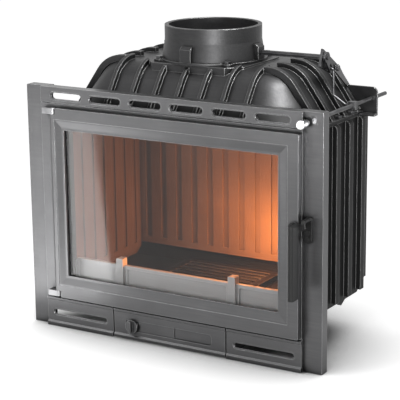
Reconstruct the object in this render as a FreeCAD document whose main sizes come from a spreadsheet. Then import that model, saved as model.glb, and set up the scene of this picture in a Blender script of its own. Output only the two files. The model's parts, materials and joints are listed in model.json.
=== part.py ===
import FreeCAD, Part
import math
import os
import Sketcher

# Cast-iron fireplace insert for solid fuel, in millimetres.
# The front faces -Y, +Z is up, and the origin lies on the floor below the flue axis.

SIZES = {
    # Front: two flanges beside a raised frame, a slotted strip above, a low row of panels below
    "front_width": 690.0,
    "front_height": 517.0,
    "flue_setback": 182.0,
    "flange_width": 40.5,
    "flange_thickness": 6.0,
    "flange_return": 22.0,
    "flange_lap": 14.0,
    "flange_corner": 3.0,
    "frame_proud": 8.0,
    "apron_thickness": 3.0,
    "seam_gap": 1.5,
    "strip_height": 32.5,
    "strip_return": 14.0,
    "strip_wall": 6.0,
    "slot_count": 6,
    "slot_pitch": 96.3,
    "slot_length": 74.0,
    "slot_height": 13.5,
    "slot_drop": 18.5,
    "slot_rim": 2.5,
    "slot_rim_depth": 1.5,
    # Lower row
    "row_height": 66.0,
    "row_lip": 3.0,
    "row_lip_height": 8.0,
    "row_bead": 2.0,
    "row_bead_height": 7.0,
    "row_slope": 3.0,
    "drawer_front_width": 267.0,
    "panel_gap": 3.0,
    "drawer_ground_gap": 2.0,
    "vent_length": 134.0,
    "vent_height": 10.0,
    "vent_level": 31.0,
    "window_margin": 10.0,
    # Door
    "door_centre": 13.5,
    "door_width": 579.0,
    "door_height": 406.0,
    "door_low": 70.0,
    "door_thickness": 12.0,
    "door_gap": 1.0,
    "door_lap": 24.0,
    "door_corner": 3.0,
    "door_left_band": 15.5,
    "door_right_band": 26.0,
    "door_top_band": 26.0,
    "door_low_band": 30.0,
    "bevel_width": 19.0,
    "bevel_depth": 2.0,
    "bevel_step": 1.0,
    "bevel_step_width": 2.5,
    "bevel_lip": 5.0,
    "glass_thickness": 4.0,
    "glass_lap": 8.0,
    "rebate_depth": 5.0,
    "rebate_gap": 0.5,
    "tape_thickness": 1.0,
    "rope_width": 8.4,
    "rope_groove": 9.0,
    "rope_depth": 4.0,
    "rope_inset": 16.0,
    "rope_corner": 14.0,
    "clip_length": 24.0,
    "clip_reach": 6.0,
    "clip_foot": 7.9,
    "clip_sheet": 1.5,
    "clip_screw_radius": 1.75,
    "clip_head_radius": 3.2,
    "clip_head_height": 2.0,
    "clip_place_share": 0.25,
    # Hinges
    "notch_height": 14.0,
    "notch_reach": 10.0,
    "block_height": 12.0,
    "block_reach": 22.0,
    "block_round": 6.5,
    "block_gap": 1.0,
    "pin_radius": 3.0,
    "pin_depth": 24.0,
    "washer_radius": 5.8,
    "washer_thickness": 0.7,
    "running_clearance": 0.05,
    "soft_clearance": 0.3,
    # Handle and catch
    "pivot_inset": 9.0,
    "pivot_level": 297.0,
    "pivot_radius": 4.0,
    "pivot_depth": 7.0,
    "pivot_head_radius": 6.0,
    "pivot_head_height": 4.5,
    "lever_thickness": 6.0,
    "lever_boss": 9.0,
    "lever_gap": 1.0,
    "nose_length": 22.0,
    "nose_height": 9.0,
    "grip_offset": 13.0,
    "grip_width": 11.0,
    "grip_depth": 24.0,
    "grip_length": 146.0,
    "grip_rise": 9.0,
    "grip_bevel": 3.0,
    "shank_length": 10.0,
    "shank_height": 18.0,
    "catch_width": 15.0,
    "catch_height": 52.0,
    "catch_rise": 17.0,
    "catch_plate": 5.0,
    "catch_roof": 5.0,
    "catch_lip": 4.5,
    "catch_lip_gap": 1.5,
    "catch_nose_gap": 0.5,
    "catch_corner": 7.0,
    "catch_screw_count": 2,
    "catch_screw_pitch": 13.0,
    "catch_screw_radius": 2.5,
    "catch_screw_head": 4.5,
    "catch_screw_height": 2.5,
    # Firebox casting
    "body_depth": 318.0,
    "body_low": 84.0,
    "body_high": 460.0,
    "side_half": 287.0,
    "plate_thickness": 8.0,
    "side_rib_width": 16.0,
    "side_rib_height": 11.0,
    "side_rib_pitch": 57.5,
    "side_rib_first": 47.0,
    "side_rib_count": 5,
    "side_rib_margin": 8.0,
    "side_rib_shoulder": 10.5,
    "heel_run": 35.0,
    "heel_rise": 24.0,
    "foot_lug_length": 36.0,
    "foot_lug_drop": 9.0,
    "foot_lug_place": 202.0,
    "rear_rib_count": 9,
    "rear_rib_height": 10.0,
    "rear_rib_shoulder": 9.5,
    # Hood
    "ledge_thickness": 8.0,
    "ledge_half": 290.0,
    "ledge_depth": 322.0,
    "dome_inset": 16.0,
    "dome_front_inset": 13.0,
    "dome_rise": 98.0,
    "dome_run": 69.0,
    "dome_round": 66.0,
    "dome_reach": 108.0,
    "dome_corner": 114.0,
    "dome_wall": 6.0,
    "dome_rib_height": 10.0,
    "dome_rib_width": 8.0,
    "front_rib_pitch": 53.0,
    "front_rib_count": 7,
    "front_rib_end": 112.0,
    "side_dome_rib_width": 12.0,
    "side_dome_rib_end": 112.0,
    "side_dome_rib_count": 4,
    "platform_rise": 4.0,
    "platform_drop": 21.0,
    "platform_front": 104.0,
    "platform_flat": 86.0,
    "platform_half": 114.0,
    "platform_bevel": 32.0,
    "platform_back": 118.0,
    "platform_corner": 60.0,
    "rear_dome_rib_rise": 72.0,
    # Flue collar
    "collar_height": 71.5,
    "collar_radius": 100.0,
    "collar_base_radius": 105.8,
    "collar_bore": 92.0,
    "collar_spigot": 30.0,
    "collar_flange_radius": 111.0,
    "collar_flange_thickness": 5.0,
    "collar_ear_radius": 11.0,
    "collar_ear_circle": 114.0,
    "collar_lug_width": 25.0,
    "collar_lug_height": 32.0,
    "collar_lug_reach": 112.0,
    "collar_lug_slope": 6.0,
    "bolt_radius": 4.0,
    "bolt_head_radius": 7.5,
    "bolt_head_height": 5.0,
    "bolt_grip": 16.0,
    # Damper
    "shaft_level": 589.5,
    "shaft_radius": 5.0,
    "shaft_square": 9.0,
    "shaft_end": 264.0,
    "shaft_blind": 110.0,
    "flap_radius": 88.0,
    "flap_half": 50.0,
    "flap_thickness": 3.0,
    "flap_screw_radius": 2.0,
    "flap_screw_place": 45.0,
    "flap_screw_head": 4.0,
    "flap_screw_height": 2.0,
    "flap_screw_depth": 4.0,
    "support_plane": 248.0,
    "support_thickness": 5.0,
    "support_top": 17.0,
    "support_reach": 60.0,
    "support_drop": 38.0,
    "support_width": 30.0,
    "support_peak": 3.0,
    "crank_plane": 257.0,
    "crank_thickness": 4.0,
    "crank_hub": 11.0,
    "crank_arm_width": 17.0,
    "link_drop": 23.5,
    "link_back": 17.0,
    "link_radius": 2.5,
    "link_plane": 266.0,
    "link_low": 512.0,
    "link_bend": 8.0,
    "link_slack": 1.5,
    "rod_place": 309.0,
    "rod_level": 495.0,
    "rod_radius": 4.0,
    "rod_tail": 352.0,
    "rod_knob_radius": 9.0,
    "rod_knob_length": 18.0,
    "rod_knob_gap": 10.0,
    "rod_knob_round": 3.0,
    "rod_bush_radius": 10.0,
    "rod_bush_height": 4.0,
    "rod_clamp_size": 16.0,
    "rod_clamp_length": 12.0,
    # Rear bracket of the damper rod
    "bracket_place": 283.0,
    "bracket_sheet": 4.0,
    "bracket_outer": 323.0,
    "bracket_top": 519.0,
    "bracket_low": 461.0,
    "bracket_corner": 12.0,
    "bracket_lip": 14.0,
    "bracket_arm_width": 13.0,
    "bracket_foot": 24.0,
    "support_bolt_back": 51.5,
    "support_bolt_drop": 28.5,
    "support_bolt_radius": 3.0,
    "support_bolt_head": 6.0,
    "support_bolt_height": 4.0,
    # Ash drawer and air slide
    "housing_half": 131.5,
    "housing_sheet": 3.0,
    "housing_depth": 293.0,
    "pan_half": 126.0,
    "pan_depth": 285.0,
    "pan_height": 55.0,
    "pan_sheet": 2.0,
    "recess_left": 106.0,
    "recess_right": 101.0,
    "recess_height": 23.0,
    "recess_depth": 3.0,
    "undercut": 1.7,
    "undercut_depth": 1.9,
    "slide_sheet": 1.3,
    "slide_right": 12.0,
    "slide_play": 0.3,
    "air_knob_place": 88.0,
    "air_knob_radius": 14.0,
    "air_knob_height": 6.0,
    "air_fin_width": 6.0,
    "air_fin_depth": 8.0,
    "air_fin_length": 26.0,
    "air_fin_round": 2.7,
    "air_stud_radius": 2.5,
    "air_slot_length": 64.0,
    "air_slot_height": 5.0,
    "air_slot_place": 36.0,
    "air_slot_offset": 6.5,
    "pan_screw_radius": 2.0,
    "pan_screw_head": 4.0,
    "pan_screw_height": 2.0,
    "pan_screw_half": 112.0,
    "pan_screw_level": 14.0,
    "pan_screw_depth": 3.0,
    # Fire chamber fittings
    "grate_half": 115.0,
    "grate_front": 60.0,
    "grate_depth": 200.0,
    "grate_thickness": 12.0,
    "grate_border": 16.0,
    "grate_bar_count": 9,
    "grate_slot": 11.0,
    "grate_lap": 12.0,
    "guard_half": 250.0,
    "guard_place": 22.0,
    "guard_thickness": 8.0,
    "guard_height": 56.0,
    "guard_corner": 8.0,
    "guard_rim": 7.0,
    "guard_panel_depth": 3.0,
    "guard_post_place": 134.0,
    "guard_post_width": 16.0,
    "guard_post_height": 71.0,
    "guard_post_depth": 6.0,
    "lining_thickness": 14.0,
    "lining_front": 44.0,
    "lining_gap": 2.0,
    "lining_groove_depth": 4.0,
    "lining_groove_width": 14.0,
    "lining_groove_pitch": 40.0,
    "lining_rear_height": 280.0,
    "lining_front_height": 336.0,
    "baffle_thickness": 10.0,
    "baffle_front": 110.0,
    "baffle_back": 286.0,
    "overrun": 2.0,
}

doc = FreeCAD.newDocument("fireplace_insert")
sheet = doc.addObject("Spreadsheet::Sheet", "Sizes")
for row, (alias, number) in enumerate(SIZES.items(), start=1):
    sheet.set("A%d" % row, alias)
    sheet.set("B%d" % row, str(number))
    sheet.setAlias("B%d" % row, alias)
doc.recompute()


class Dim:
    """A size that carries its value together with the sheet expression it follows."""

    def __init__(self, value, text):
        self.value = value
        self.text = text

    def __add__(self, other):
        other = as_dim(other)
        return Dim(self.value + other.value, "(%s + %s)" % (self.text, other.text))

    def __sub__(self, other):
        other = as_dim(other)
        return Dim(self.value - other.value, "(%s - %s)" % (self.text, other.text))

    def __mul__(self, other):
        other = as_dim(other)
        return Dim(self.value * other.value, "(%s * %s)" % (self.text, other.text))

    def __truediv__(self, other):
        other = as_dim(other)
        return Dim(self.value / other.value, "(%s / %s)" % (self.text, other.text))

    def __rsub__(self, other):
        return as_dim(other) - self

    def __neg__(self):
        return Dim(-self.value, "(0 - %s)" % self.text)

    __radd__ = __add__
    __rmul__ = __mul__


def as_dim(number):
    return number if isinstance(number, Dim) else Dim(float(number), "%.9g" % number)


def root(dim):
    return Dim(math.sqrt(dim.value), "sqrt(%s)" % dim.text)


def ordered(first, second):
    first, second = as_dim(first), as_dim(second)
    return (first, second) if first.value <= second.value else (second, first)


class Sheet:
    """Reads the sheet's sizes by their names."""

    def __getattr__(self, alias):
        return Dim(float(SIZES[alias]), "Sizes.%s" % alias)


s = Sheet()
nodes = []


def keep(label, piece):
    """Gives a finished piece its name and notes it for writing."""
    piece.Label = label
    nodes.append(piece)
    return piece


def bind(piece, prop, dim):
    piece.setExpression(prop, as_dim(dim).text)


def place(piece, x=0, y=0, z=0):
    for name, dim in (("x", x), ("y", y), ("z", z)):
        bind(piece, "Placement.Base." + name, dim)
    return piece


# Sketch outlines

def rect(x0, y0, x1, y1, radius=None):
    corners = [(x0, y0), (x1, y0), (x1, y1), (x0, y1)]
    return [corner if radius is None else corner + (radius,) for corner in corners]


class Disc:
    def __init__(self, x, y, radius):
        self.x, self.y, self.radius = as_dim(x), as_dim(y), as_dim(radius)


class Stadium:
    """A slot with round ends that runs along the sketch's own X."""

    def __init__(self, x, y, length, width):
        self.x, self.y = as_dim(x), as_dim(y)
        self.length, self.width = as_dim(length), as_dim(width)


def fix_point(sketch, geometry, position, x, y):
    """Pins one point of a sketch at two sheet sizes."""
    for kind, dim in (("DistanceX", as_dim(x)), ("DistanceY", as_dim(y))):
        index = sketch.addConstraint(Sketcher.Constraint(kind, -1, 1, geometry, position, dim.value))
        if dim.text != "0":
            sketch.setExpression("Constraints[%d]" % index, dim.text)


def fix_radius(sketch, geometry, radius):
    index = sketch.addConstraint(Sketcher.Constraint("Radius", geometry, radius.value))
    sketch.setExpression("Constraints[%d]" % index, radius.text)


def add_disc(sketch, disc):
    centre = FreeCAD.Vector(disc.x.value, disc.y.value, 0)
    circle = Part.Circle(centre, FreeCAD.Vector(0, 0, 1), disc.radius.value)
    geometry = sketch.addGeometry(circle, False)
    fix_point(sketch, geometry, 3, disc.x, disc.y)
    fix_radius(sketch, geometry, disc.radius)


def add_stadium(sketch, slot):
    radius = slot.width / 2
    left = slot.x - slot.length / 2 + radius
    right = slot.x + slot.length / 2 - radius
    r, y = radius.value, slot.y.value
    up = FreeCAD.Vector(0, 0, 1)
    ends = []
    for centre, start in ((left, math.pi / 2), (right, -math.pi / 2)):
        circle = Part.Circle(FreeCAD.Vector(centre.value, y, 0), up, r)
        ends.append(sketch.addGeometry(Part.ArcOfCircle(circle, start, start + math.pi), False))
    low_line = Part.LineSegment(FreeCAD.Vector(left.value, y - r, 0), FreeCAD.Vector(right.value, y - r, 0))
    high_line = Part.LineSegment(FreeCAD.Vector(right.value, y + r, 0), FreeCAD.Vector(left.value, y + r, 0))
    low = sketch.addGeometry(low_line, False)
    high = sketch.addGeometry(high_line, False)
    sketch.addConstraint(Sketcher.Constraint("Tangent", ends[0], 2, low, 1))
    sketch.addConstraint(Sketcher.Constraint("Tangent", low, 2, ends[1], 1))
    sketch.addConstraint(Sketcher.Constraint("Tangent", ends[1], 2, high, 1))
    sketch.addConstraint(Sketcher.Constraint("Tangent", high, 2, ends[0], 1))
    fix_point(sketch, ends[0], 3, left, slot.y)
    fix_point(sketch, ends[1], 3, right, slot.y)
    fix_radius(sketch, ends[0], radius)


def add_polygon(sketch, corners):
    """Draws a closed outline; a corner with a third value is rounded to that radius."""
    points = [FreeCAD.Vector(as_dim(c[0]).value, as_dim(c[1]).value, 0) for c in corners]
    radii = [as_dim(c[2]) if len(c) > 2 else None for c in corners]
    count = len(corners)
    enter, leave, bends = [], [], []
    for i in range(count):
        here = points[i]
        back = (points[i - 1] - here).normalize()
        ahead = (points[(i + 1) % count] - here).normalize()
        if radii[i] is None:
            enter.append(here)
            leave.append(here)
            bends.append(None)
            continue
        half = back.getAngle(ahead) / 2
        reach = radii[i].value / math.tan(half)
        enter.append(here + back * reach)
        leave.append(here + ahead * reach)
        inward = (back + ahead).normalize()
        bends.append(here + inward * (radii[i].value / math.sin(half) - radii[i].value))
    lines = []
    for i in range(count):
        segment = Part.LineSegment(leave[i], enter[(i + 1) % count])
        lines.append(sketch.addGeometry(segment, False))
    for i in range(count):
        before, after = lines[i - 1], lines[i]
        if radii[i] is None:
            sketch.addConstraint(Sketcher.Constraint("Coincident", before, 2, after, 1))
            fix_point(sketch, after, 1, corners[i][0], corners[i][1])
            continue
        arc = sketch.addGeometry(Part.Arc(enter[i], bends[i], leave[i]), False)
        starts_here = sketch.getPoint(arc, 1).distanceToPoint(enter[i]) < radii[i].value / 1000
        first, second = (1, 2) if starts_here else (2, 1)
        apex = sketch.addGeometry(Part.Point(points[i]), True)
        fix_point(sketch, apex, 1, corners[i][0], corners[i][1])
        sketch.addConstraint(Sketcher.Constraint("PointOnObject", apex, 1, before))
        sketch.addConstraint(Sketcher.Constraint("PointOnObject", apex, 1, after))
        sketch.addConstraint(Sketcher.Constraint("Tangent", before, 2, arc, first))
        sketch.addConstraint(Sketcher.Constraint("Tangent", arc, second, after, 1))
        fix_radius(sketch, arc, radii[i])


PLANES = {"X": ("YZ_Plane", 1), "Y": ("XZ_Plane", -1), "Z": ("XY_Plane", 1)}


def new_body():
    return doc.addObject("PartDesign::Body", "Body")


def new_sketch(body, axis, level):
    """A sketch square to an axis, at a level along it."""
    role, sign = PLANES[axis]
    plane = [feature for feature in body.Origin.OriginFeatures if feature.Role == role][0]
    sketch = body.newObject("Sketcher::SketchObject", "Sketch")
    sketch.AttachmentSupport = [(plane, "")]
    sketch.MapMode = "FlatFace"
    bind(sketch, "AttachmentOffset.Base.z", level if sign > 0 else -as_dim(level))
    return sketch


def draw(body, axis, level, loops):
    sketch = new_sketch(body, axis, level)
    for loop in loops:
        if isinstance(loop, Disc):
            add_disc(sketch, loop)
        elif isinstance(loop, Stadium):
            add_stadium(sketch, loop)
        else:
            add_polygon(sketch, loop)
    return sketch


def extrude(body, axis, loops, start, end):
    """Adds the outline's prism between two levels of an axis."""
    low, high = ordered(start, end)
    pad = body.newObject("PartDesign::Pad", "Pad")
    pad.Profile = draw(body, axis, low if PLANES[axis][1] > 0 else high, loops)
    bind(pad, "Length", high - low)
    return pad


def cut(body, axis, loops, start, end):
    """Takes the outline's prism out between two levels of an axis."""
    low, high = ordered(start, end)
    pocket = body.newObject("PartDesign::Pocket", "Pocket")
    pocket.Profile = draw(body, axis, high if PLANES[axis][1] > 0 else low, loops)
    bind(pocket, "Length", high - low)
    return pocket


def revolve(body, axis, outline):
    """Turns an outline round the sketch's upright axis."""
    turned = body.newObject("PartDesign::Revolution", "Revolution")
    sketch = draw(body, axis, 0, [outline])
    turned.Profile = sketch
    turned.ReferenceAxis = (sketch, ["V_Axis"])
    turned.Angle = 360
    return turned


def prism(axis, loops, start, end):
    body = new_body()
    extrude(body, axis, loops, start, end)
    return body


# Plain solids for fasteners and other turned pieces

TURNS = {
    "X": FreeCAD.Rotation(FreeCAD.Vector(0, 1, 0), 90),
    "Y": FreeCAD.Rotation(FreeCAD.Vector(1, 0, 0), -90),
    "Z": FreeCAD.Rotation(),
}


def round_bar(axis, x, y, z, radius, length):
    bar = doc.addObject("Part::Cylinder", "Cylinder")
    bar.Placement.Rotation = TURNS[axis]
    bind(bar, "Radius", radius)
    bind(bar, "Height", length)
    return place(bar, x, y, z)


def hex_bar(axis, x, y, z, radius, length):
    bar = doc.addObject("Part::Prism", "Prism")
    bar.Polygon = 6
    bar.Placement.Rotation = TURNS[axis]
    bind(bar, "Circumradius", radius)
    bind(bar, "Height", length)
    return place(bar, x, y, z)


def block(x0, y0, z0, x1, y1, z1):
    box = doc.addObject("Part::Box", "Box")
    x0, x1 = ordered(x0, x1)
    y0, y1 = ordered(y0, y1)
    z0, z1 = ordered(z0, z1)
    bind(box, "Length", x1 - x0)
    bind(box, "Width", y1 - y0)
    bind(box, "Height", z1 - z0)
    return place(box, x0, y0, z0)


def fuse(*pieces):
    joined = doc.addObject("Part::MultiFuse", "Fusion")
    joined.Shapes = list(pieces)
    joined.Refine = True
    return joined


def take(base, tool):
    less = doc.addObject("Part::Cut", "Cut")
    less.Base = base
    less.Tool = tool
    return less


def group(pieces):
    together = doc.addObject("Part::Compound", "Group")
    together.Links = pieces
    return together


def bolt_down(x, y, z):
    """A hexagon bolt whose head sits on a level face at height z."""
    head = hex_bar("Z", x, y, z, s.bolt_head_radius, s.bolt_head_height)
    shank = round_bar("Z", x, y, z - s.bolt_grip, s.bolt_radius, s.bolt_grip)
    return fuse(head, shank)


# Planes that several pieces share

front = -s.flue_setback
frame_face = front - s.frame_proud
half_front = s.front_width / 2
frame_half = half_front - s.flange_width
frame_top = s.front_height - s.strip_height
door_back = frame_face - s.door_gap
door_face = door_back - s.door_thickness
door_left = s.door_centre - s.door_width / 2
door_right = s.door_centre + s.door_width / 2
door_top = s.door_low + s.door_height
hinge_x = door_left + s.door_thickness / 2
hinge_y = door_face + s.door_thickness / 2
pane_left = door_left + s.door_left_band + s.bevel_width
pane_right = door_right - s.door_right_band - s.bevel_width
pane_low = s.door_low + s.door_low_band + s.bevel_width
pane_top = door_top - s.door_top_band - s.bevel_width
body_back = front + s.body_depth
plate_back = body_back - s.plate_thickness
side_inner = s.side_half - s.plate_thickness
floor_top = s.body_low + s.plate_thickness
ledge_top = s.body_high + s.ledge_thickness
dome_half = s.ledge_half - s.dome_inset
dome_front = front + s.dome_front_inset
dome_back = front + s.ledge_depth
dome_top = ledge_top + s.dome_rise
platform_top = dome_top + s.platform_rise
collar_top = platform_top + s.collar_height
apron_face = front - s.apron_thickness
row_top = s.row_height
drawer_half = s.drawer_front_width / 2
pivot_x = door_right - s.pivot_inset
lever_back = door_face - s.lever_gap
lever_front = lever_back - s.lever_thickness
catch_left = pivot_x + s.nose_length - s.catch_width / 2
catch_right = catch_left + s.catch_width
catch_top = s.pivot_level + s.catch_rise
pan_bottom = s.housing_sheet + s.slide_play
drawer_back = apron_face - s.soft_clearance
bracket_y = front + s.bracket_place


# Front pieces

def front_frame():
    """The raised casting round the fire opening, with a thin apron behind the lower row."""
    body = new_body()
    low = row_top + s.seam_gap
    outer = rect(-frame_half, low, frame_half, frame_top - s.seam_gap)
    lap = s.door_lap
    opening = rect(door_left + lap, s.door_low + lap, door_right - lap, door_top - lap)
    extrude(body, "Y", [outer, opening], frame_face, front)
    tunnel = s.housing_half - s.housing_sheet
    tunnel_top = pan_bottom + s.pan_height + s.overrun
    window_left = drawer_half + s.window_margin
    window_right = frame_half - s.window_margin
    apron = [(-frame_half, 0), (-tunnel, 0), (-tunnel, tunnel_top), (tunnel, tunnel_top), (tunnel, 0),
             (frame_half, 0), (frame_half, low), (-frame_half, low)]
    windows = [rect(side[0], s.window_margin, side[1], row_top - s.window_margin)
               for side in ((window_left, window_right), (-window_right, -window_left))]
    extrude(body, "Y", [apron] + windows, apron_face, front)
    return keep("front_frame", body)


def flange(label, side):
    """A side trim with a return along its outer and top edges, lapped behind the frame."""
    body = new_body()
    inner = side * (frame_half - s.flange_lap)
    outer = side * half_front
    outline = [(inner, 0), (outer, 0), (outer, s.front_height, s.flange_corner), (inner, s.front_height)]
    extrude(body, "Y", [outline], front, front + s.flange_return)
    wall = s.flange_thickness
    hollow = [(inner - side * s.overrun, -s.overrun), (outer - side * wall, -s.overrun),
              (outer - side * wall, s.front_height - wall), (inner - side * s.overrun, s.front_height - wall)]
    cut(body, "Y", [hollow], front + wall, front + s.flange_return + s.overrun)
    if side > 0:
        hole = Disc(s.rod_place, s.rod_level, s.rod_radius + s.rod_bush_height / 2 + s.running_clearance)
        cut(body, "Y", [hole], front - s.overrun, front + wall + s.overrun)
    return keep(label, body)


def top_grille():
    """The slotted strip over the door, with a shelf turned back along its top."""
    body = new_body()
    low = frame_top
    extrude(body, "Y", [rect(-frame_half, low, frame_half, s.front_height)], frame_face, front)
    shelf_half = frame_half - s.flange_lap - s.seam_gap
    shelf = rect(-shelf_half, s.front_height - s.strip_wall, shelf_half, s.front_height)
    extrude(body, "Y", [shelf], front, front + s.strip_return)
    level = s.front_height - s.slot_drop
    first = -s.slot_pitch * (SIZES["slot_count"] - 1) / 2
    centres = [first + s.slot_pitch * i for i in range(SIZES["slot_count"])]
    rim = s.slot_rim * 2
    rims = [Stadium(x, level, s.slot_length + rim, s.slot_height + rim) for x in centres]
    cut(body, "Y", rims, frame_face, frame_face + s.slot_rim_depth)
    slots = [Stadium(x, level, s.slot_length, s.slot_height) for x in centres]
    cut(body, "Y", slots, frame_face, front + s.overrun)
    return keep("top_grille", body)


def row_profile(low, back):
    """The lower row's section: a proud lip at the foot, a plain face and a bead at the top."""
    lip = frame_face - s.row_lip
    bead = frame_face - s.row_bead
    bead_low = row_top - s.row_bead_height
    return [(back, low), (lip, low), (lip, s.row_lip_height), (frame_face, s.row_lip_height + s.row_slope),
            (frame_face, bead_low - s.row_bead), (bead, bead_low), (bead, row_top - s.row_slope),
            (bead + s.row_slope, row_top), (back, row_top)]


def lower_grille(label, side):
    body = new_body()
    inner = side * (drawer_half + s.panel_gap)
    outer = side * frame_half
    extrude(body, "X", [row_profile(as_dim(0), apron_face)], inner, outer)
    middle = (inner + outer) / 2
    rim = Stadium(middle, s.vent_level, s.vent_length + s.slot_rim * 2, s.vent_height + s.slot_rim * 2)
    cut(body, "Y", [rim], frame_face, frame_face + s.slot_rim_depth)
    vent = Stadium(middle, s.vent_level, s.vent_length, s.vent_height)
    cut(body, "Y", [vent], frame_face, apron_face + s.overrun)
    return keep(label, body)


# Door

def door_frame():
    """The door casting: flat bands, a bevel down to the pane, notched corners for the hinges."""
    body = new_body()
    notch_x = hinge_x + s.notch_reach
    notch_low = s.door_low + s.notch_height
    notch_top = door_top - s.notch_height
    outline = [(hinge_x, notch_low), (notch_x, notch_low), (notch_x, s.door_low),
               (door_right, s.door_low, s.door_corner), (door_right, door_top, s.door_corner),
               (notch_x, door_top), (notch_x, notch_top), (hinge_x, notch_top)]
    extrude(body, "Y", [outline], door_face, door_back)
    extrude(body, "Z", [Disc(hinge_x, hinge_y, s.door_thickness / 2)], notch_low, notch_top)
    step = s.bevel_width + s.bevel_step_width
    shallow = rect(pane_left - step, pane_low - step, pane_right + step, pane_top + step)
    step_floor = door_face + s.bevel_step
    cut(body, "Y", [shallow], door_face, step_floor)
    wide = s.bevel_width
    mouth = rect(pane_left - wide, pane_low - wide, pane_right + wide, pane_top + wide)
    pane = rect(pane_left, pane_low, pane_right, pane_top)
    bevel_floor = step_floor + s.bevel_depth
    bevel = body.newObject("PartDesign::SubtractiveLoft", "Bevel")
    bevel.Profile = draw(body, "Y", step_floor, [mouth])
    lip = s.bevel_lip
    land = rect(pane_left - lip, pane_low - lip, pane_right + lip, pane_top + lip)
    bevel.Sections = [draw(body, "Y", bevel_floor, [land])]
    bevel.Ruled = True
    cut(body, "Y", [pane], step_floor, door_back + s.overrun)
    edge = s.glass_lap + s.rebate_gap
    rebate = rect(pane_left - edge, pane_low - edge, pane_right + edge, pane_top + edge)
    cut(body, "Y", [rebate], door_back - s.rebate_depth, door_back)
    cut(body, "Y", rope_loops(s.rope_groove), door_back - s.rope_depth, door_back)
    bore = Disc(hinge_x, hinge_y, s.pin_radius + s.running_clearance)
    cut(body, "Z", [bore], notch_low, notch_low + s.pin_depth)
    cut(body, "Z", [bore], notch_top - s.pin_depth, notch_top)
    pivot = Disc(pivot_x, s.pivot_level, s.pivot_radius + s.running_clearance)
    cut(body, "Y", [pivot], door_face, door_face + s.pivot_depth)
    screws = [Disc(x, z, s.clip_screw_radius + s.running_clearance) for x, z, up in clip_places()]
    cut(body, "Y", screws, door_back - s.rebate_depth, door_back)
    return keep("door_frame", body)


def rope_loops(width):
    """Outer and inner outlines of a rope of this width in the groove round the door's back."""
    loops = []
    for offset in (-width / 2, width / 2):
        inset = s.rope_inset + offset
        loops.append(rect(door_left + inset, s.door_low + inset, door_right - inset, door_top - inset,
                          s.rope_corner - offset))
    return loops


def clip_places():
    """Screw places of the glass clips, two below and two above, each with the way to the pane."""
    edge = s.glass_lap + s.rebate_gap + s.clip_foot / 2
    places = []
    for share in (s.clip_place_share, 1 - s.clip_place_share):
        x = pane_left + (pane_right - pane_left) * share
        places += [(x, pane_low - edge, 1), (x, pane_top + edge, -1)]
    return places


rebate_floor = door_back - s.rebate_depth
glass_front = rebate_floor + s.tape_thickness
glass_back = glass_front + s.glass_thickness


def door_glass():
    lap = s.glass_lap
    outline = rect(pane_left - lap, pane_low - lap, pane_right + lap, pane_top + lap)
    return keep("door_glass", prism("Y", [outline], glass_front, glass_back))


def glass_tape():
    lap = s.glass_lap
    outer = rect(pane_left - lap, pane_low - lap, pane_right + lap, pane_top + lap)
    inner = rect(pane_left, pane_low, pane_right, pane_top)
    return keep("glass_tape", prism("Y", [outer, inner], rebate_floor, glass_front))


def glass_clips():
    """Flat tabs screwed to the door's back that reach over the edge of the glass."""
    clips = []
    half = s.clip_length / 2
    foot = s.clip_foot / 2
    back = glass_back + s.clip_sheet
    for x, z, up in clip_places():
        tab = block(x - half, glass_back, z - up * foot, x + half, back, z + up * (foot + s.clip_reach))
        hole = round_bar("Y", x, glass_back - s.overrun, z, s.clip_screw_radius + s.running_clearance,
                         s.clip_sheet + s.overrun * 2)
        clips.append(take(tab, hole))
    return keep("glass_clips", group(clips))


def clip_screws():
    screws = []
    back = glass_back + s.clip_sheet
    for x, z, up in clip_places():
        shank = round_bar("Y", x, rebate_floor, z, s.clip_screw_radius, back - rebate_floor)
        head = round_bar("Y", x, back, z, s.clip_head_radius, s.clip_head_height)
        screws.append(fuse(shank, head))
    return keep("clip_screws", group(screws))


def door_rope():
    rope = prism("Y", rope_loops(s.rope_width), door_back - s.rope_depth, frame_face - s.soft_clearance)
    return keep("door_rope", rope)


def hinge_block(label, low):
    """A cast eye on the frame that holds one hinge pin, round where the door turns past it."""
    body = new_body()
    left = hinge_x - s.block_reach
    near = hinge_y - s.block_round
    outline = [(left, frame_face), (left, near), (hinge_x, near), (hinge_x, frame_face)]
    extrude(body, "Z", [outline], low, low + s.block_height)
    extrude(body, "Z", [Disc(hinge_x, hinge_y, s.block_round)], low, low + s.block_height)
    bore = Disc(hinge_x, hinge_y, s.pin_radius + s.running_clearance)
    cut(body, "Z", [bore], low - s.overrun, low + s.block_height + s.overrun)
    return keep(label, body)


lower_block = s.door_low + s.notch_height - s.block_gap - s.block_height
upper_block = door_top - s.notch_height + s.block_gap


def hinge_pins():
    reach = s.pin_depth + s.block_gap + s.block_height - s.overrun
    lower = round_bar("Z", hinge_x, hinge_y, lower_block, s.pin_radius, reach)
    upper = round_bar("Z", hinge_x, hinge_y, upper_block + s.block_height - reach, s.pin_radius, reach)
    return keep("hinge_pins", group([lower, upper]))


def hinge_washers():
    washers = []
    for level in (lower_block + s.block_height, upper_block - s.washer_thickness):
        disc = round_bar("Z", hinge_x, hinge_y, level, s.washer_radius, s.washer_thickness)
        hole = round_bar("Z", hinge_x, hinge_y, level - s.overrun, s.pin_radius + s.running_clearance,
                         s.washer_thickness + s.overrun * 2)
        washers.append(take(disc, hole))
    return keep("hinge_washers", group(washers))


# Handle and catch

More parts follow.
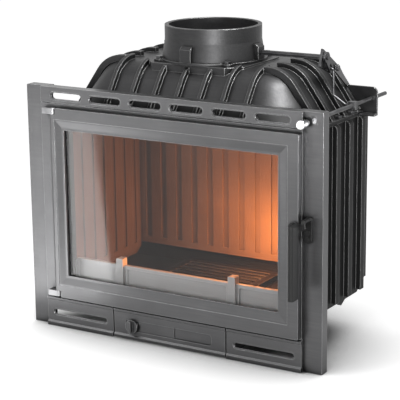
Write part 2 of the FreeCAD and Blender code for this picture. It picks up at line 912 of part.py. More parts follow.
def handle_lever():
    """A flat lever on the pivot bolt: a nose for the catch and a shank that carries the grip."""
    body = new_body()
    extrude(body, "Y", [Disc(pivot_x, s.pivot_level, s.lever_boss)], lever_front, lever_back)
    half = s.nose_height / 2
    nose = rect(pivot_x, s.pivot_level - half, pivot_x + s.nose_length, s.pivot_level + half)
    extrude(body, "Y", [nose], lever_front, lever_back)
    tip = Disc(pivot_x + s.nose_length, s.pivot_level, half)
    extrude(body, "Y", [tip], lever_front, lever_back)
    middle = pivot_x + s.grip_offset
    shank = rect(middle - s.grip_width / 2, s.pivot_level - s.shank_height / 2,
                 middle + s.grip_width / 2, s.pivot_level + s.shank_height / 2)
    extrude(body, "Y", [shank], lever_front - s.shank_length, lever_front)
    bore = Disc(pivot_x, s.pivot_level, s.pivot_radius + s.running_clearance)
    cut(body, "Y", [bore], lever_front - s.overrun, lever_back)
    return keep("handle_lever", body)


def handle_grip():
    """A flat black bar with its front edges bevelled."""
    back = lever_front - s.shank_length
    face = back - s.grip_depth
    middle = pivot_x + s.grip_offset
    half = s.grip_width / 2
    left, right, bevel = middle - half, middle + half, s.grip_bevel
    outline = [(left, back), (left, face + bevel), (left + bevel, face),
               (right - bevel, face), (right, face + bevel), (right, back)]
    top = s.pivot_level + s.grip_rise
    return keep("handle_grip", prism("Z", [outline], top - s.grip_length, top))


def pivot_bolt():
    shank = round_bar("Y", pivot_x, lever_front - s.soft_clearance, s.pivot_level, s.pivot_radius,
                      door_face + s.pivot_depth - lever_front + s.soft_clearance)
    head_y = lever_front - s.soft_clearance - s.pivot_head_height
    head = round_bar("Y", pivot_x, head_y, s.pivot_level, s.pivot_head_radius, s.pivot_head_height)
    return keep("pivot_bolt", fuse(shank, head))


def pivot_washer():
    disc = round_bar("Y", pivot_x, lever_back + s.soft_clearance, s.pivot_level, s.lever_boss,
                     s.lever_gap - s.soft_clearance)
    hole = round_bar("Y", pivot_x, lever_back - s.overrun, s.pivot_level, s.pivot_radius + s.running_clearance,
                     s.lever_gap + s.overrun * 2)
    return keep("pivot_washer", take(disc, hole))


catch_screw_places = [s.pivot_level - s.catch_screw_pitch * (i + 1)
                      for i in range(SIZES["catch_screw_count"])]


def latch_catch():
    """A keeper on the right flange: a back plate, a roof over the nose and a lip in front of it."""
    body = new_body()
    low = catch_top - s.catch_height
    plate = [(catch_left, low, s.catch_corner), (catch_right, low, s.catch_corner),
             (catch_right, catch_top, s.catch_corner), (catch_left, catch_top, s.catch_corner)]
    extrude(body, "Y", [plate], front - s.catch_plate, front)
    lip_back = lever_front - s.catch_lip_gap
    lip_front = lip_back - s.catch_lip
    lip_low = s.pivot_level + s.nose_height / 2 + s.catch_nose_gap
    roof = [(front - s.catch_plate, catch_top - s.catch_roof), (lip_back, catch_top - s.catch_roof),
            (lip_back, lip_low), (lip_front, lip_low), (lip_front, catch_top, s.catch_corner),
            (front - s.catch_plate, catch_top)]
    extrude(body, "X", [roof], catch_left + s.catch_corner, catch_right)
    middle = (catch_left + catch_right) / 2
    holes = [Disc(middle, z, s.catch_screw_radius + s.running_clearance) for z in catch_screw_places]
    cut(body, "Y", holes, front - s.catch_plate, front + s.overrun)
    return keep("latch_catch", body)


def catch_screws():
    middle = (catch_left + catch_right) / 2
    face = front - s.catch_plate
    screws = []
    for z in catch_screw_places:
        head = round_bar("Y", middle, face - s.catch_screw_height, z, s.catch_screw_head, s.catch_screw_height)
        shank = round_bar("Y", middle, face, z, s.catch_screw_radius, s.catch_plate)
        screws.append(fuse(head, shank))
    return keep("catch_screws", group(screws))


# Firebox castings

def side_panel(label, side):
    """A cast side wall with upright ribs whose tops round over, and a lug under its lower edge."""
    body = new_body()
    heel = plate_back - s.heel_run
    lug = front + s.foot_lug_place
    half_lug = s.foot_lug_length / 2
    outline = [(front, s.body_low), (lug - half_lug, s.body_low), (lug, s.body_low - s.foot_lug_drop),
               (lug + half_lug, s.body_low), (heel, s.body_low), (plate_back, s.body_low + s.heel_rise),
               (plate_back, s.body_high), (front, s.body_high)]
    extrude(body, "X", [outline], side * side_inner, side * s.side_half)
    crest = side * (s.side_half + s.side_rib_height)
    root_x = side * s.side_half
    low = s.body_low + s.side_rib_margin
    profile = [(root_x, low), (crest, low), (crest, s.body_high, s.side_rib_shoulder), (root_x, s.body_high)]
    for i in range(SIZES["side_rib_count"]):
        middle = front + s.side_rib_first + s.side_rib_pitch * i
        extrude(body, "Y", [profile], middle - s.side_rib_width / 2, middle + s.side_rib_width / 2)
    return keep(label, body)


def rear_panel():
    body = new_body()
    low = s.body_low + s.heel_rise
    extrude(body, "Y", [rect(-s.side_half, low, s.side_half, s.body_high)], plate_back, body_back)
    crest = body_back + s.rear_rib_height
    foot = low + s.side_rib_margin
    profile = [(body_back, foot), (crest, foot), (crest, s.body_high, s.rear_rib_shoulder),
               (body_back, s.body_high)]
    first = -s.side_rib_pitch * (SIZES["rear_rib_count"] - 1) / 2
    for i in range(SIZES["rear_rib_count"]):
        middle = first + s.side_rib_pitch * i
        extrude(body, "X", [profile], middle - s.side_rib_width / 2, middle + s.side_rib_width / 2)
    return keep("rear_panel", body)


def base_plate():
    """The firebox floor, turned up at the back along the heel, with a hole below the grate."""
    body = new_body()
    heel = plate_back - s.heel_run
    heel_top = s.body_low + s.heel_rise
    profile = [(front, s.body_low), (heel, s.body_low), (plate_back, heel_top),
               (plate_back, heel_top + s.plate_thickness), (heel, floor_top), (front, floor_top)]
    extrude(body, "X", [profile], -side_inner, side_inner)
    hole = rect(-s.grate_half + s.grate_lap, front + s.grate_front + s.grate_lap,
                s.grate_half - s.grate_lap, front + s.grate_front + s.grate_depth - s.grate_lap)
    cut(body, "Z", [hole], s.body_low - s.overrun, floor_top + s.overrun)
    return keep("base_plate", body)


# Hood

def dome_section(outer, inner, reach, base, toward):
    """A strip of the hood's wall section between two offsets from its outer face.

    base is the face's foot, toward is the direction in which the hood closes in.
    """
    slant = root(s.dome_rise * s.dome_rise + s.dome_run * s.dome_run)
    lean = slant / s.dome_rise

    def foot(offset):
        return base - toward * offset * lean

    def shoulder(offset):
        climb = (s.dome_rise + offset) * s.dome_run / s.dome_rise
        return foot(offset) + toward * climb

    end = base + toward * reach
    return [(foot(outer), ledge_top), (shoulder(outer), dome_top + outer, s.dome_round + outer),
            (end, dome_top + outer), (end, dome_top + inner),
            (shoulder(inner), dome_top + inner, s.dome_round + inner), (foot(inner), ledge_top)]


def hood():
    """A cast hood that curves in from three sides to a platform for the collar, ribbed outside."""
    body = new_body()
    zero = as_dim(0)
    wall = -s.dome_wall
    spine = new_sketch(body, "Z", ledge_top)
    add_spine(spine, dome_half, dome_front, dome_back, s.dome_corner)
    shell = body.newObject("PartDesign::AdditivePipe", "Shell")
    shell.Profile = draw(body, "Y", dome_back, [dome_section(zero, wall, s.dome_reach, dome_half, -1)])
    shell.Spine = spine
    shell.Mode = "Standard"
    skin = s.dome_inset / 2
    inner_half = dome_half - skin
    inner_front = dome_front + skin
    ledge = rect(-s.ledge_half, front, s.ledge_half, dome_back)
    throat = [(-inner_half, inner_front, s.dome_corner - skin), (inner_half, inner_front, s.dome_corner - skin),
              (inner_half, dome_back - s.plate_thickness), (-inner_half, dome_back - s.plate_thickness)]
    extrude(body, "Z", [ledge, throat], s.body_high, ledge_top)
    run = s.dome_run
    rear_wall = [(-dome_half, ledge_top), (dome_half, ledge_top), (dome_half - run, dome_top, s.dome_round),
                 (-dome_half + run, dome_top, s.dome_round)]
    extrude(body, "Y", [rear_wall], dome_back - s.plate_thickness, dome_back)
    lap = s.dome_reach - s.overrun
    crown = rect(-dome_half + lap, dome_front + lap, dome_half - lap, dome_back)
    extrude(body, "Z", [crown], dome_top - s.dome_wall, dome_top)
    platform = [(-s.platform_flat, -s.platform_front), (s.platform_flat, -s.platform_front),
                (s.platform_half, -s.platform_front + s.platform_bevel),
                (s.platform_half, s.platform_back, s.platform_corner),
                (-s.platform_half, s.platform_back, s.platform_corner),
                (-s.platform_half, -s.platform_front + s.platform_bevel)]
    extrude(body, "Z", [platform], platform_top - s.platform_drop - s.platform_rise, platform_top)
    core = -s.dome_wall / 2
    middle_rib = (SIZES["front_rib_count"] - 1) / 2
    for i in range(SIZES["front_rib_count"]):
        x = s.front_rib_pitch * (i - middle_rib)
        section = dome_section(s.dome_rib_height, core, s.front_rib_end, dome_front, 1)
        extrude(body, "X", [section], x - s.dome_rib_width / 2, x + s.dome_rib_width / 2)
    for side in (1, -1):
        section = dome_section(s.dome_rib_height, core, s.side_dome_rib_end, side * dome_half, -side)
        for i in range(1, SIZES["side_dome_rib_count"] + 1):
            y = front + s.side_rib_first + s.side_rib_pitch * i
            extrude(body, "Y", [section], y - s.side_dome_rib_width / 2, y + s.side_dome_rib_width / 2)
    crest = dome_back + s.rear_rib_height - s.row_bead
    rear_rib = [(dome_back, s.body_high), (crest, s.body_high),
                (crest, ledge_top + s.rear_dome_rib_rise, s.rear_rib_height / 2),
                (dome_back, ledge_top + s.rear_dome_rib_rise)]
    for i in range(SIZES["front_rib_count"]):
        x = s.side_rib_pitch * (i - middle_rib)
        extrude(body, "X", [rear_rib], x - s.dome_rib_width / 2, x + s.dome_rib_width / 2)
    cut(body, "Z", [platform], platform_top, platform_top + s.dome_rib_height)
    bore = Disc(0, 0, s.collar_bore)
    cut(body, "Z", [bore], dome_top - s.dome_wall - s.platform_drop, platform_top + s.overrun)
    holes = [Disc(x, y, s.bolt_radius + s.running_clearance) for x, y in collar_bolt_places()]
    cut(body, "Z", holes, platform_top - s.bolt_grip, platform_top + s.overrun)
    holes = [Disc(x, y, s.bolt_radius + s.running_clearance) for x, y in hood_bolt_places()]
    cut(body, "Z", holes, s.body_high - s.overrun, ledge_top)
    return keep("hood", body)


def add_spine(sketch, half, near, far, corner):
    """An open path: up one side, round the front corners and back down the other side."""
    flat = half - corner
    turn = near + corner
    h, n, f = half.value, near.value, far.value
    a, t, c = flat.value, turn.value, corner.value
    bend = c * (1 - math.sqrt(0.5))
    right = sketch.addGeometry(Part.LineSegment(FreeCAD.Vector(h, f, 0), FreeCAD.Vector(h, t, 0)), False)
    arc = Part.Arc(FreeCAD.Vector(h, t, 0), FreeCAD.Vector(h - bend, n + bend, 0), FreeCAD.Vector(a, n, 0))
    first = sketch.addGeometry(arc, False)
    middle = sketch.addGeometry(Part.LineSegment(FreeCAD.Vector(a, n, 0), FreeCAD.Vector(-a, n, 0)), False)
    arc = Part.Arc(FreeCAD.Vector(-a, n, 0), FreeCAD.Vector(bend - h, n + bend, 0), FreeCAD.Vector(-h, t, 0))
    second = sketch.addGeometry(arc, False)
    left = sketch.addGeometry(Part.LineSegment(FreeCAD.Vector(-h, t, 0), FreeCAD.Vector(-h, f, 0)), False)
    chain = [right, first, middle, second, left]
    for before, after in zip(chain, chain[1:]):
        ends = [(i, j) for i in (1, 2) for j in (1, 2)
                if sketch.getPoint(before, i).distanceToPoint(sketch.getPoint(after, j)) < c / 1000]
        sketch.addConstraint(Sketcher.Constraint("Coincident", before, ends[0][0], after, ends[0][1]))
    fix_point(sketch, right, 1, half, far)
    fix_point(sketch, right, 2, half, turn)
    fix_point(sketch, middle, 1, flat, near)
    fix_point(sketch, middle, 2, -flat, near)
    fix_point(sketch, left, 1, -half, turn)
    fix_point(sketch, left, 2, -half, far)
    fix_radius(sketch, first, corner)
    fix_radius(sketch, second, corner)


def collar_bolt_places():
    step = s.collar_ear_circle * math.sqrt(0.5)
    return [(step * i, step * j) for i in (1, -1) for j in (1, -1)]


def hood_bolt_places():
    """Ledge bolts, midway between the ribs of each side."""
    x = s.ledge_half - s.dome_inset / 2
    places = []
    for i in range(SIZES["side_dome_rib_count"]):
        y = front + s.side_rib_first + s.side_rib_pitch * i + s.side_rib_pitch / 2
        places += [(x, y), (-x, y)]
    return places


def hood_bolts():
    bolts = []
    for x, y in hood_bolt_places():
        head = hex_bar("Z", x, y, ledge_top, s.bolt_head_radius, s.bolt_head_height)
        shank = round_bar("Z", x, y, s.body_high, s.bolt_radius, s.ledge_thickness)
        bolts.append(fuse(head, shank))
    return keep("hood_bolts", group(bolts))


# Flue collar and damper

collar_base = platform_top + s.collar_flange_thickness


def flue_collar():
    """A short round spigot that narrows to a plain band for the pipe, bored for the damper's shaft."""
    body = new_body()
    profile = [(s.collar_bore, collar_base), (s.collar_base_radius, collar_base),
               (s.collar_radius, collar_top - s.collar_spigot), (s.collar_radius, collar_top),
               (s.collar_bore, collar_top)]
    revolve(body, "Y", profile)
    cut(body, "X", [shaft_bearing()], -s.shaft_blind, s.collar_lug_reach)
    return keep("flue_collar", body)


def shaft_bearing():
    return Disc(0, s.shaft_level, s.shaft_radius + s.running_clearance)


def collar_flange():
    """The collar's foot: a flat ring with four bolt ears."""
    body = new_body()
    extrude(body, "Z", [Disc(0, 0, s.collar_flange_radius)], platform_top, collar_base)
    for x, y in collar_bolt_places():
        extrude(body, "Z", [Disc(x, y, s.collar_ear_radius)], platform_top, collar_base)
    cut(body, "Z", [Disc(0, 0, s.collar_bore)], platform_top - s.overrun, collar_base)
    holes = [Disc(x, y, s.bolt_radius + s.running_clearance) for x, y in collar_bolt_places()]
    cut(body, "Z", holes, platform_top - s.overrun, collar_base)
    return keep("collar_flange", body)


def collar_lugs(collar):
    """Four lugs against the collar's outside; the left and right ones are the shaft's bearings."""
    top = collar_base + s.collar_lug_height
    half = s.collar_lug_width / 2
    inner = (s.collar_bore + s.collar_radius) / 2
    lugs = []
    for axis in ("Y", "X"):
        for side in (1, -1):
            outline = [(side * inner, collar_base), (side * s.collar_lug_reach, collar_base),
                       (side * s.collar_lug_reach, top - s.collar_lug_slope),
                       (side * (s.collar_lug_reach - s.collar_lug_slope), top), (side * inner, top)]
            body = prism(axis, [outline], -half, half)
            if axis == "Y" and side > 0:
                cut(body, "X", [shaft_bearing()], inner - s.overrun, s.collar_lug_reach + s.overrun)
            elif axis == "Y":
                cut(body, "X", [shaft_bearing()], -s.shaft_blind, -inner + s.overrun)
            lugs.append(take(body, collar))
    return keep("collar_lugs", group(lugs))


def collar_bolts():
    return keep("collar_bolts", group([bolt_down(x, y, collar_base) for x, y in collar_bolt_places()]))


def damper_shaft():
    """A round journal through the collar that goes on as a square bar to the support."""
    tail = round_bar("X", -s.shaft_blind + s.soft_clearance, 0, s.shaft_level, s.shaft_radius,
                     s.shaft_end + s.shaft_blind - s.soft_clearance)
    half = s.shaft_square / 2
    bar = block(s.collar_lug_reach + s.soft_clearance, -half, s.shaft_level - half,
                s.support_plane - s.soft_clearance, half, s.shaft_level + half)
    shaft = fuse(tail, bar)
    for side in (1, -1):
        low = s.shaft_level + s.shaft_radius - s.flap_screw_depth
        hole = round_bar("Z", side * s.flap_screw_place, 0, low,
                         s.flap_screw_radius + s.running_clearance, s.flap_screw_depth + s.overrun)
        shaft = take(shaft, hole)
    return keep("damper_shaft", shaft)


def damper_flap():
    """A plate inside the collar, cut straight on two sides so that some draught always passes."""
    low = s.shaft_level + s.shaft_radius
    body = new_body()
    extrude(body, "Z", [Disc(0, 0, s.flap_radius)], low, low + s.flap_thickness)
    far = s.flap_radius + s.overrun
    for side in (1, -1):
        trim = rect(-far, s.flap_half, far, far) if side > 0 else rect(-far, -far, far, -s.flap_half)
        cut(body, "Z", [trim], low - s.overrun, low + s.flap_thickness + s.overrun)
    hole = s.flap_screw_radius + s.running_clearance
    holes = [Disc(side * s.flap_screw_place, 0, hole) for side in (1, -1)]
    cut(body, "Z", holes, low - s.overrun, low + s.flap_thickness + s.overrun)
    return keep("damper_flap", body)


def flap_screws():
    top = s.shaft_level + s.shaft_radius + s.flap_thickness
    grip = s.flap_thickness + s.flap_screw_depth
    screws = []
    for side in (1, -1):
        x = side * s.flap_screw_place
        head = round_bar("Z", x, 0, top, s.flap_screw_head, s.flap_screw_height)
        shank = round_bar("Z", x, 0, top - grip, s.flap_screw_radius, grip)
        screws.append(fuse(head, shank))
    return keep("flap_screws", group(screws))


def damper_support():
    """A three-cornered plate that carries the shaft's outer end, bolted to the bracket's arm."""
    body = new_body()
    z = s.shaft_level
    outline = [(-s.support_width / 2, z - s.support_top), (-s.support_peak, z + s.support_top),
               (s.support_reach, z - s.support_bolt_drop + s.support_bolt_head),
               (s.support_reach, z - s.support_drop),
               (s.support_bolt_back - s.support_width / 2, z - s.support_drop)]
    extrude(body, "X", [outline], s.support_plane, s.support_plane + s.support_thickness)
    bore = Disc(0, z, s.shaft_radius + s.running_clearance)
    hole = Disc(s.support_bolt_back, z - s.support_bolt_drop, s.support_bolt_radius + s.running_clearance)
    far = s.support_plane + s.support_thickness
    cut(body, "X", [bore, hole], s.support_plane - s.overrun, far + s.overrun)
    return keep("damper_support", body)


def damper_crank():
    """A short arm on the shaft's end with a slot along it, in which the link's upper end slides."""
    body = new_body()
    end = s.crank_plane + s.crank_thickness
    reach = root(s.link_drop * s.link_drop + s.link_back * s.link_back)
    width = (s.link_radius + s.link_slack) * 2
    arm = [(-s.crank_arm_width / 2, 0), (-s.crank_arm_width / 2, -reach), (s.crank_arm_width / 2, -reach),
           (s.crank_arm_width / 2, 0)]
    extrude(body, "X", [arm], s.crank_plane, end)
    extrude(body, "X", [Disc(0, 0, s.crank_hub)], s.crank_plane, end)
    extrude(body, "X", [Disc(0, -reach, s.crank_arm_width / 2)], s.crank_plane, end)
    near = s.link_drop - s.link_slack
    slot = rect(-width / 2, -reach - s.link_radius - s.link_slack, width / 2, -near + s.link_radius)
    cut(body, "X", [slot], s.crank_plane - s.overrun, end + s.overrun)
    bore = Disc(0, 0, s.shaft_radius + s.running_clearance)
    cut(body, "X", [bore], s.crank_plane - s.overrun, end + s.overrun)
    lean = math.degrees(math.atan2(s.link_back.value, s.link_drop.value))
    body.Placement.Rotation = FreeCAD.Rotation(FreeCAD.Vector(1, 0, 0), lean)
    place(body, 0, 0, s.shaft_level)
    return keep("damper_crank", body)


def damper_rod():
    start = front - s.rod_knob_gap
    rod = round_bar("Y", s.rod_place, start, s.rod_level, s.rod_radius, front + s.rod_tail - start)
    return keep("damper_rod", rod)


def rod_knob():
    body = new_body()
    length = s.rod_knob_length
    profile = [(0, 0), (s.rod_knob_radius, 0, s.rod_knob_round), (s.rod_knob_radius, length), (0, length)]
    revolve(body, "Z", profile)
    place(body, s.rod_place, front - s.rod_knob_gap - length, s.rod_level)
    return keep("rod_knob", body)


def rod_bush():
    """A shouldered bush set into the right flange from behind, in which the rod slides."""
    stem = s.rod_radius + s.rod_bush_height / 2
    length = s.flange_thickness + s.rod_bush_height
    shoulder = front + s.flange_thickness
    head = round_bar("Y", s.rod_place, shoulder, s.rod_level, s.rod_bush_radius, s.rod_bush_height)
    tail = round_bar("Y", s.rod_place, front, s.rod_level, stem, length)
    hole = round_bar("Y", s.rod_place, front - s.overrun, s.rod_level, s.rod_radius + s.running_clearance,
                     length + s.overrun * 2)
    return keep("rod_bush", take(fuse(head, tail), hole))


def rod_clamp():
    """A block on the rod that holds the foot of the link."""
    half = s.rod_clamp_size / 2
    y = s.link_back - s.rod_clamp_length / 2
    cube = block(s.rod_place - half, y, s.rod_level - half, s.rod_place + half, y + s.rod_clamp_length,
                 s.rod_level + half)
    hole = round_bar("Y", s.rod_place, y - s.overrun, s.rod_level, s.rod_radius + s.running_clearance,
                     s.rod_clamp_length + s.overrun * 2)
    return keep("rod_clamp", take(cube, hole))


def damper_link():
    """A bent wire from the rod's clamp up to the crank's slot."""
    top = s.shaft_level - s.link_drop
    inner = s.crank_plane - s.support_thickness / 2
    clamp_face = s.rod_place - s.rod_clamp_size / 2
    knots = [(inner, top), (s.link_plane, top), (s.link_plane, s.link_low),
             (clamp_face - s.link_bend, s.rod_level), (clamp_face, s.rod_level)]
    corners = [FreeCAD.Vector(x.value, s.link_back.value, z.value) for x, z in knots]
    edges = []
    start = corners[0]
    for i in range(1, len(corners) - 1):
        here = corners[i]
        back = (corners[i - 1] - here).normalize()
        ahead = (corners[i + 1] - here).normalize()
        half = back.getAngle(ahead) / 2
        bend = s.link_bend.value
        reach = bend / math.tan(half)
        inward = (back + ahead).normalize()
        middle = here + inward * (bend / math.sin(half) - bend)
        edges.append(Part.LineSegment(start, here + back * reach).toShape())
        edges.append(Part.Arc(here + back * reach, middle, here + ahead * reach).toShape())
        start = here + ahead * reach
    edges.append(Part.LineSegment(start, corners[-1]).toShape())
    path = Part.Wire(edges)
    circle = Part.Circle(corners[0], corners[1] - corners[0], s.link_radius.value)
    ring = Part.Wire([circle.toShape()])
    link = doc.addObject("Part::Feature", "Link")
    link.Shape = path.makePipeShell([ring], True, False)
    return keep("damper_link", link)


def damper_bracket():
    """A bent plate behind the hood: it guides the rod's tail, and its arm holds the shaft support."""
    body = new_body()
    back = bracket_y + s.bracket_sheet
    arm_plane = s.support_plane + s.support_thickness
    slope = (s.bracket_top - ledge_top) * s.dome_run / s.dome_rise
    inner_low = s.ledge_half + s.soft_clearance
    plate = [(arm_plane, s.bracket_top),
             (inner_low - slope + s.dome_inset, s.bracket_top - s.bracket_arm_width * 2),
             (inner_low, ledge_top), (inner_low, s.bracket_low), (s.bracket_outer, s.bracket_low),
             (s.bracket_outer, s.bracket_top, s.bracket_corner)]
    extrude(body, "Y", [plate], bracket_y, back)
    lip = rect(inner_low, s.bracket_low, s.bracket_outer, s.bracket_low + s.bracket_sheet)
    extrude(body, "Y", [lip], bracket_y - s.bracket_lip, bracket_y)
    bolt_y = s.support_bolt_back
    bolt_z = s.shaft_level - s.support_bolt_drop
    half = s.bracket_arm_width / 2
    arm = [(back, s.bracket_top), (back, s.bracket_top - half),
           (bolt_y - half, bolt_z - half), (bolt_y - half, bolt_z + half), (bolt_y + half, bolt_z + half)]
    extrude(body, "X", [arm], arm_plane, arm_plane + s.bracket_sheet)
    foot = rect(s.ledge_half - s.dome_inset, back - s.bracket_sheet,
                inner_low + s.bracket_sheet, back + s.bracket_foot)
    extrude(body, "Z", [foot], ledge_top, ledge_top + s.bracket_sheet)
    hole = Disc(s.rod_place, s.rod_level, s.rod_radius + s.running_clearance)
    cut(body, "Y", [hole], bracket_y - s.overrun, back + s.overrun)
    bolt = Disc(bolt_y, bolt_z, s.support_bolt_radius + s.running_clearance)
    cut(body, "X", [bolt], arm_plane - s.overrun, arm_plane + s.bracket_sheet + s.overrun)
    return keep("damper_bracket", body)


def support_bolt():
    """The bolt that ties the shaft support to the bracket's arm, with its nut."""
    y = s.support_bolt_back
    z = s.shaft_level - s.support_bolt_drop
    stack = s.support_thickness + s.bracket_sheet
    head = hex_bar("X", s.support_plane + stack, y, z, s.support_bolt_head, s.support_bolt_height)
    shank = round_bar("X", s.support_plane, y, z, s.support_bolt_radius, stack)
    nut = hex_bar("X", s.support_plane - s.support_bolt_height, y, z, s.support_bolt_head, s.support_bolt_height)
    return keep("support_bolt", fuse(head, shank, nut))


# Ash drawer and air slide

def ash_housing():
    """A sheet channel under the firebox floor in which the ash pan slides."""
    body = new_body()
    half = s.housing_half
    inner = half - s.housing_sheet
    profile = [(-half, 0), (half, 0), (half, s.body_low), (inner, s.body_low), (inner, s.housing_sheet),
               (-inner, s.housing_sheet), (-inner, s.body_low), (-half, s.body_low)]
    back = front + s.housing_depth
    extrude(body, "Y", [profile], front, back)
    extrude(body, "Y", [rect(-half, 0, half, s.body_low)], back, back + s.housing_sheet)
    return keep("ash_housing", body)


def drawer_front():
    """The middle panel of the lower row, with a grooved recess for the air slide."""
    body = new_body()
    extrude(body, "X", [row_profile(s.drawer_ground_gap, drawer_back)], -drawer_half, drawer_half)
    half = s.recess_height / 2
    recess = rect(-s.recess_left, s.vent_level - half, s.recess_right, s.vent_level + half, half / 2)
    floor = frame_face + s.recess_depth
    cut(body, "Y", [recess], frame_face, floor)
    side = s.undercut
    reach = half + side
    groove = rect(-s.recess_left - side, s.vent_level - reach, s.recess_right + side, s.vent_level + reach)
    cut(body, "Y", [groove], floor - s.undercut_depth, floor)
    cut(body, "Y", air_slots(), floor, drawer_back)
    screws = [Disc(x, z, s.pan_screw_radius + s.running_clearance) for x, z in pan_screw_places()]
    cut(body, "Y", screws, drawer_back - s.pan_screw_depth, drawer_back)
    return keep("drawer_front", body)


def air_slots():
    levels = [s.vent_level + s.air_slot_offset * side for side in (1, -1)]
    return [Stadium(-s.air_slot_place, z, s.air_slot_length, s.air_slot_height) for z in levels]


def pan_screw_places():
    return [(s.pan_screw_half * i, s.vent_level + s.pan_screw_level * j) for i in (1, -1) for j in (1, -1)]


def ash_pan():
    body = new_body()
    half = s.pan_half
    back = front + s.pan_depth
    top = pan_bottom + s.pan_height
    extrude(body, "Z", [rect(-half, drawer_back, half, back)], pan_bottom, top)
    wall = s.pan_sheet
    cut(body, "Z", [rect(-half + wall, drawer_back + wall, half - wall, back - wall)], pan_bottom + wall, top)
    cut(body, "Y", air_slots(), drawer_back - s.overrun, drawer_back + wall + s.overrun)
    screws = [Disc(x, z, s.pan_screw_radius + s.running_clearance) for x, z in pan_screw_places()]
    cut(body, "Y", screws, drawer_back - s.overrun, drawer_back + wall + s.overrun)
    return keep("ash_pan", body)


def pan_screws():
    screws = []
    inside = drawer_back + s.pan_sheet
    for x, z in pan_screw_places():
        shank = round_bar("Y", x, drawer_back - s.pan_screw_depth, z, s.pan_screw_radius,
                          s.pan_screw_depth + s.pan_sheet)
        head = round_bar("Y", x, inside, z, s.pan_screw_head, s.pan_screw_height)
        screws.append(fuse(shank, head))
    return keep("pan_screws", group(screws))


slide_back = frame_face + s.recess_depth - s.slide_play
slide_face = slide_back - s.slide_sheet


def air_slide():
    body = new_body()
    half = s.recess_height / 2 + s.undercut - s.slide_play
    left = -s.recess_left - s.undercut + s.slide_play
    plate = rect(left, s.vent_level - half, s.slide_right, s.vent_level + half)
    extrude(body, "Y", [plate], slide_face, slide_back)
    stud = Disc(-s.air_knob_place, s.vent_level, s.air_stud_radius)
    cut(body, "Y", [stud], slide_face, slide_back)
    return keep("air_slide", body)


def air_knob():
    """A round knob with an upright fin to push it by."""
    body = new_body()
    x, z = -s.air_knob_place, s.vent_level
    neck = frame_face - s.slide_play
    face = neck - s.air_knob_height
    extrude(body, "Y", [Disc(x, z, s.recess_height / 2 - s.undercut)], neck, slide_face)
    extrude(body, "Y", [Disc(x, z, s.air_knob_radius)], face, neck)
    half = s.air_fin_width / 2
    tall = s.air_fin_length / 2
    fin = rect(x - half, z - tall, x + half, z + tall, s.air_fin_round)
    extrude(body, "Y", [fin], face - s.air_fin_depth, face)
    extrude(body, "Y", [Disc(x, z, s.air_stud_radius)], slide_face, slide_back)
    return keep("air_knob", body)


# Fire chamber fittings

def grate():
    """A cast grate with long slots, lying over the hole in the floor."""
    body = new_body()
    near = front + s.grate_front
    far = near + s.grate_depth
    extrude(body, "Z", [rect(-s.grate_half, near, s.grate_half, far, s.grate_lap)], floor_top,
            floor_top + s.grate_thickness)
    count = SIZES["grate_bar_count"]
    room = s.grate_depth - s.grate_border * 2 - s.grate_slot
    slots = [Stadium(0, near + s.grate_border + s.grate_slot / 2 + room * i / (count - 1),
                     (s.grate_half - s.grate_border) * 2, s.grate_slot) for i in range(count)]
    cut(body, "Z", slots, floor_top - s.overrun, floor_top + s.grate_thickness)
    return keep("grate", body)


def log_guard():
    """A low fence behind the glass: three sunk panels between two posts."""
    body = new_body()
    near = front + s.guard_place
    far = near + s.guard_thickness
    top = floor_top + s.guard_height
    outline = [(-s.guard_half, floor_top), (s.guard_half, floor_top), (s.guard_half, top, s.guard_corner),
               (-s.guard_half, top, s.guard_corner)]
    extrude(body, "Y", [outline], near, far)
    half = s.guard_post_width / 2
    rim = s.guard_rim
    edges = [-s.guard_half, -s.guard_post_place - half, -s.guard_post_place + half,
             s.guard_post_place - half, s.guard_post_place + half, s.guard_half]
    panels = [rect(edges[i] + rim, floor_top + rim, edges[i + 1] - rim, top - rim, s.guard_corner / 2)
              for i in (0, 2, 4)]
    cut(body, "Y", panels, near, near + s.guard_panel_depth)
    for side in (1, -1):
        x = s.guard_post_place * side
        post = rect(x - half, floor_top, x + half, floor_top + s.guard_post_height, s.guard_corner / 4)
        extrude(body, "Y", [post], near - s.guard_post_depth, far + s.guard_post_depth / 2)
    return keep("log_guard", body)


lining_low = floor_top
lining_back = plate_back - s.lining_gap


def baffle_line(y):
    """Height of the baffle's underside at a depth y: it climbs towards the front."""
    low = lining_low + s.lining_rear_height
    climb = (s.lining_front_height - s.lining_rear_height) / (s.baffle_back - s.baffle_front)
    return low + climb * (front + s.baffle_back - y)


def side_lining(label, side):
    """A loose cast plate that shields the side wall, grooved upright, sloped on top for the baffle."""
    body = new_body()
    near = front + s.lining_front
    slope_front = front + s.baffle_front
    far = lining_back - s.lining_thickness
    heel = plate_back - s.heel_run
    heel_low = lining_low + (far - heel) * s.heel_rise / s.heel_run
    outline = [(near, lining_low), (heel, lining_low), (far, heel_low), (far, baffle_line(far)),
               (slope_front, baffle_line(slope_front)), (near, baffle_line(slope_front))]
    outer = side * (side_inner - s.lining_gap)
    inner = side * (side_inner - s.lining_gap - s.lining_thickness)
    extrude(body, "X", [outline], outer, inner)
    count = int((far.value - near.value) / s.lining_groove_pitch.value)
    top = lining_low + s.lining_front_height + s.overrun
    start = near + s.lining_groove_pitch / 2
    grooves = [rect(start + s.lining_groove_pitch * i, lining_low + s.heel_rise,
                    start + s.lining_groove_pitch * i + s.lining_groove_width, top) for i in range(count)]
    cut(body, "X", grooves, inner - side * s.overrun, inner + side * s.lining_groove_depth)
    return keep(label, body)


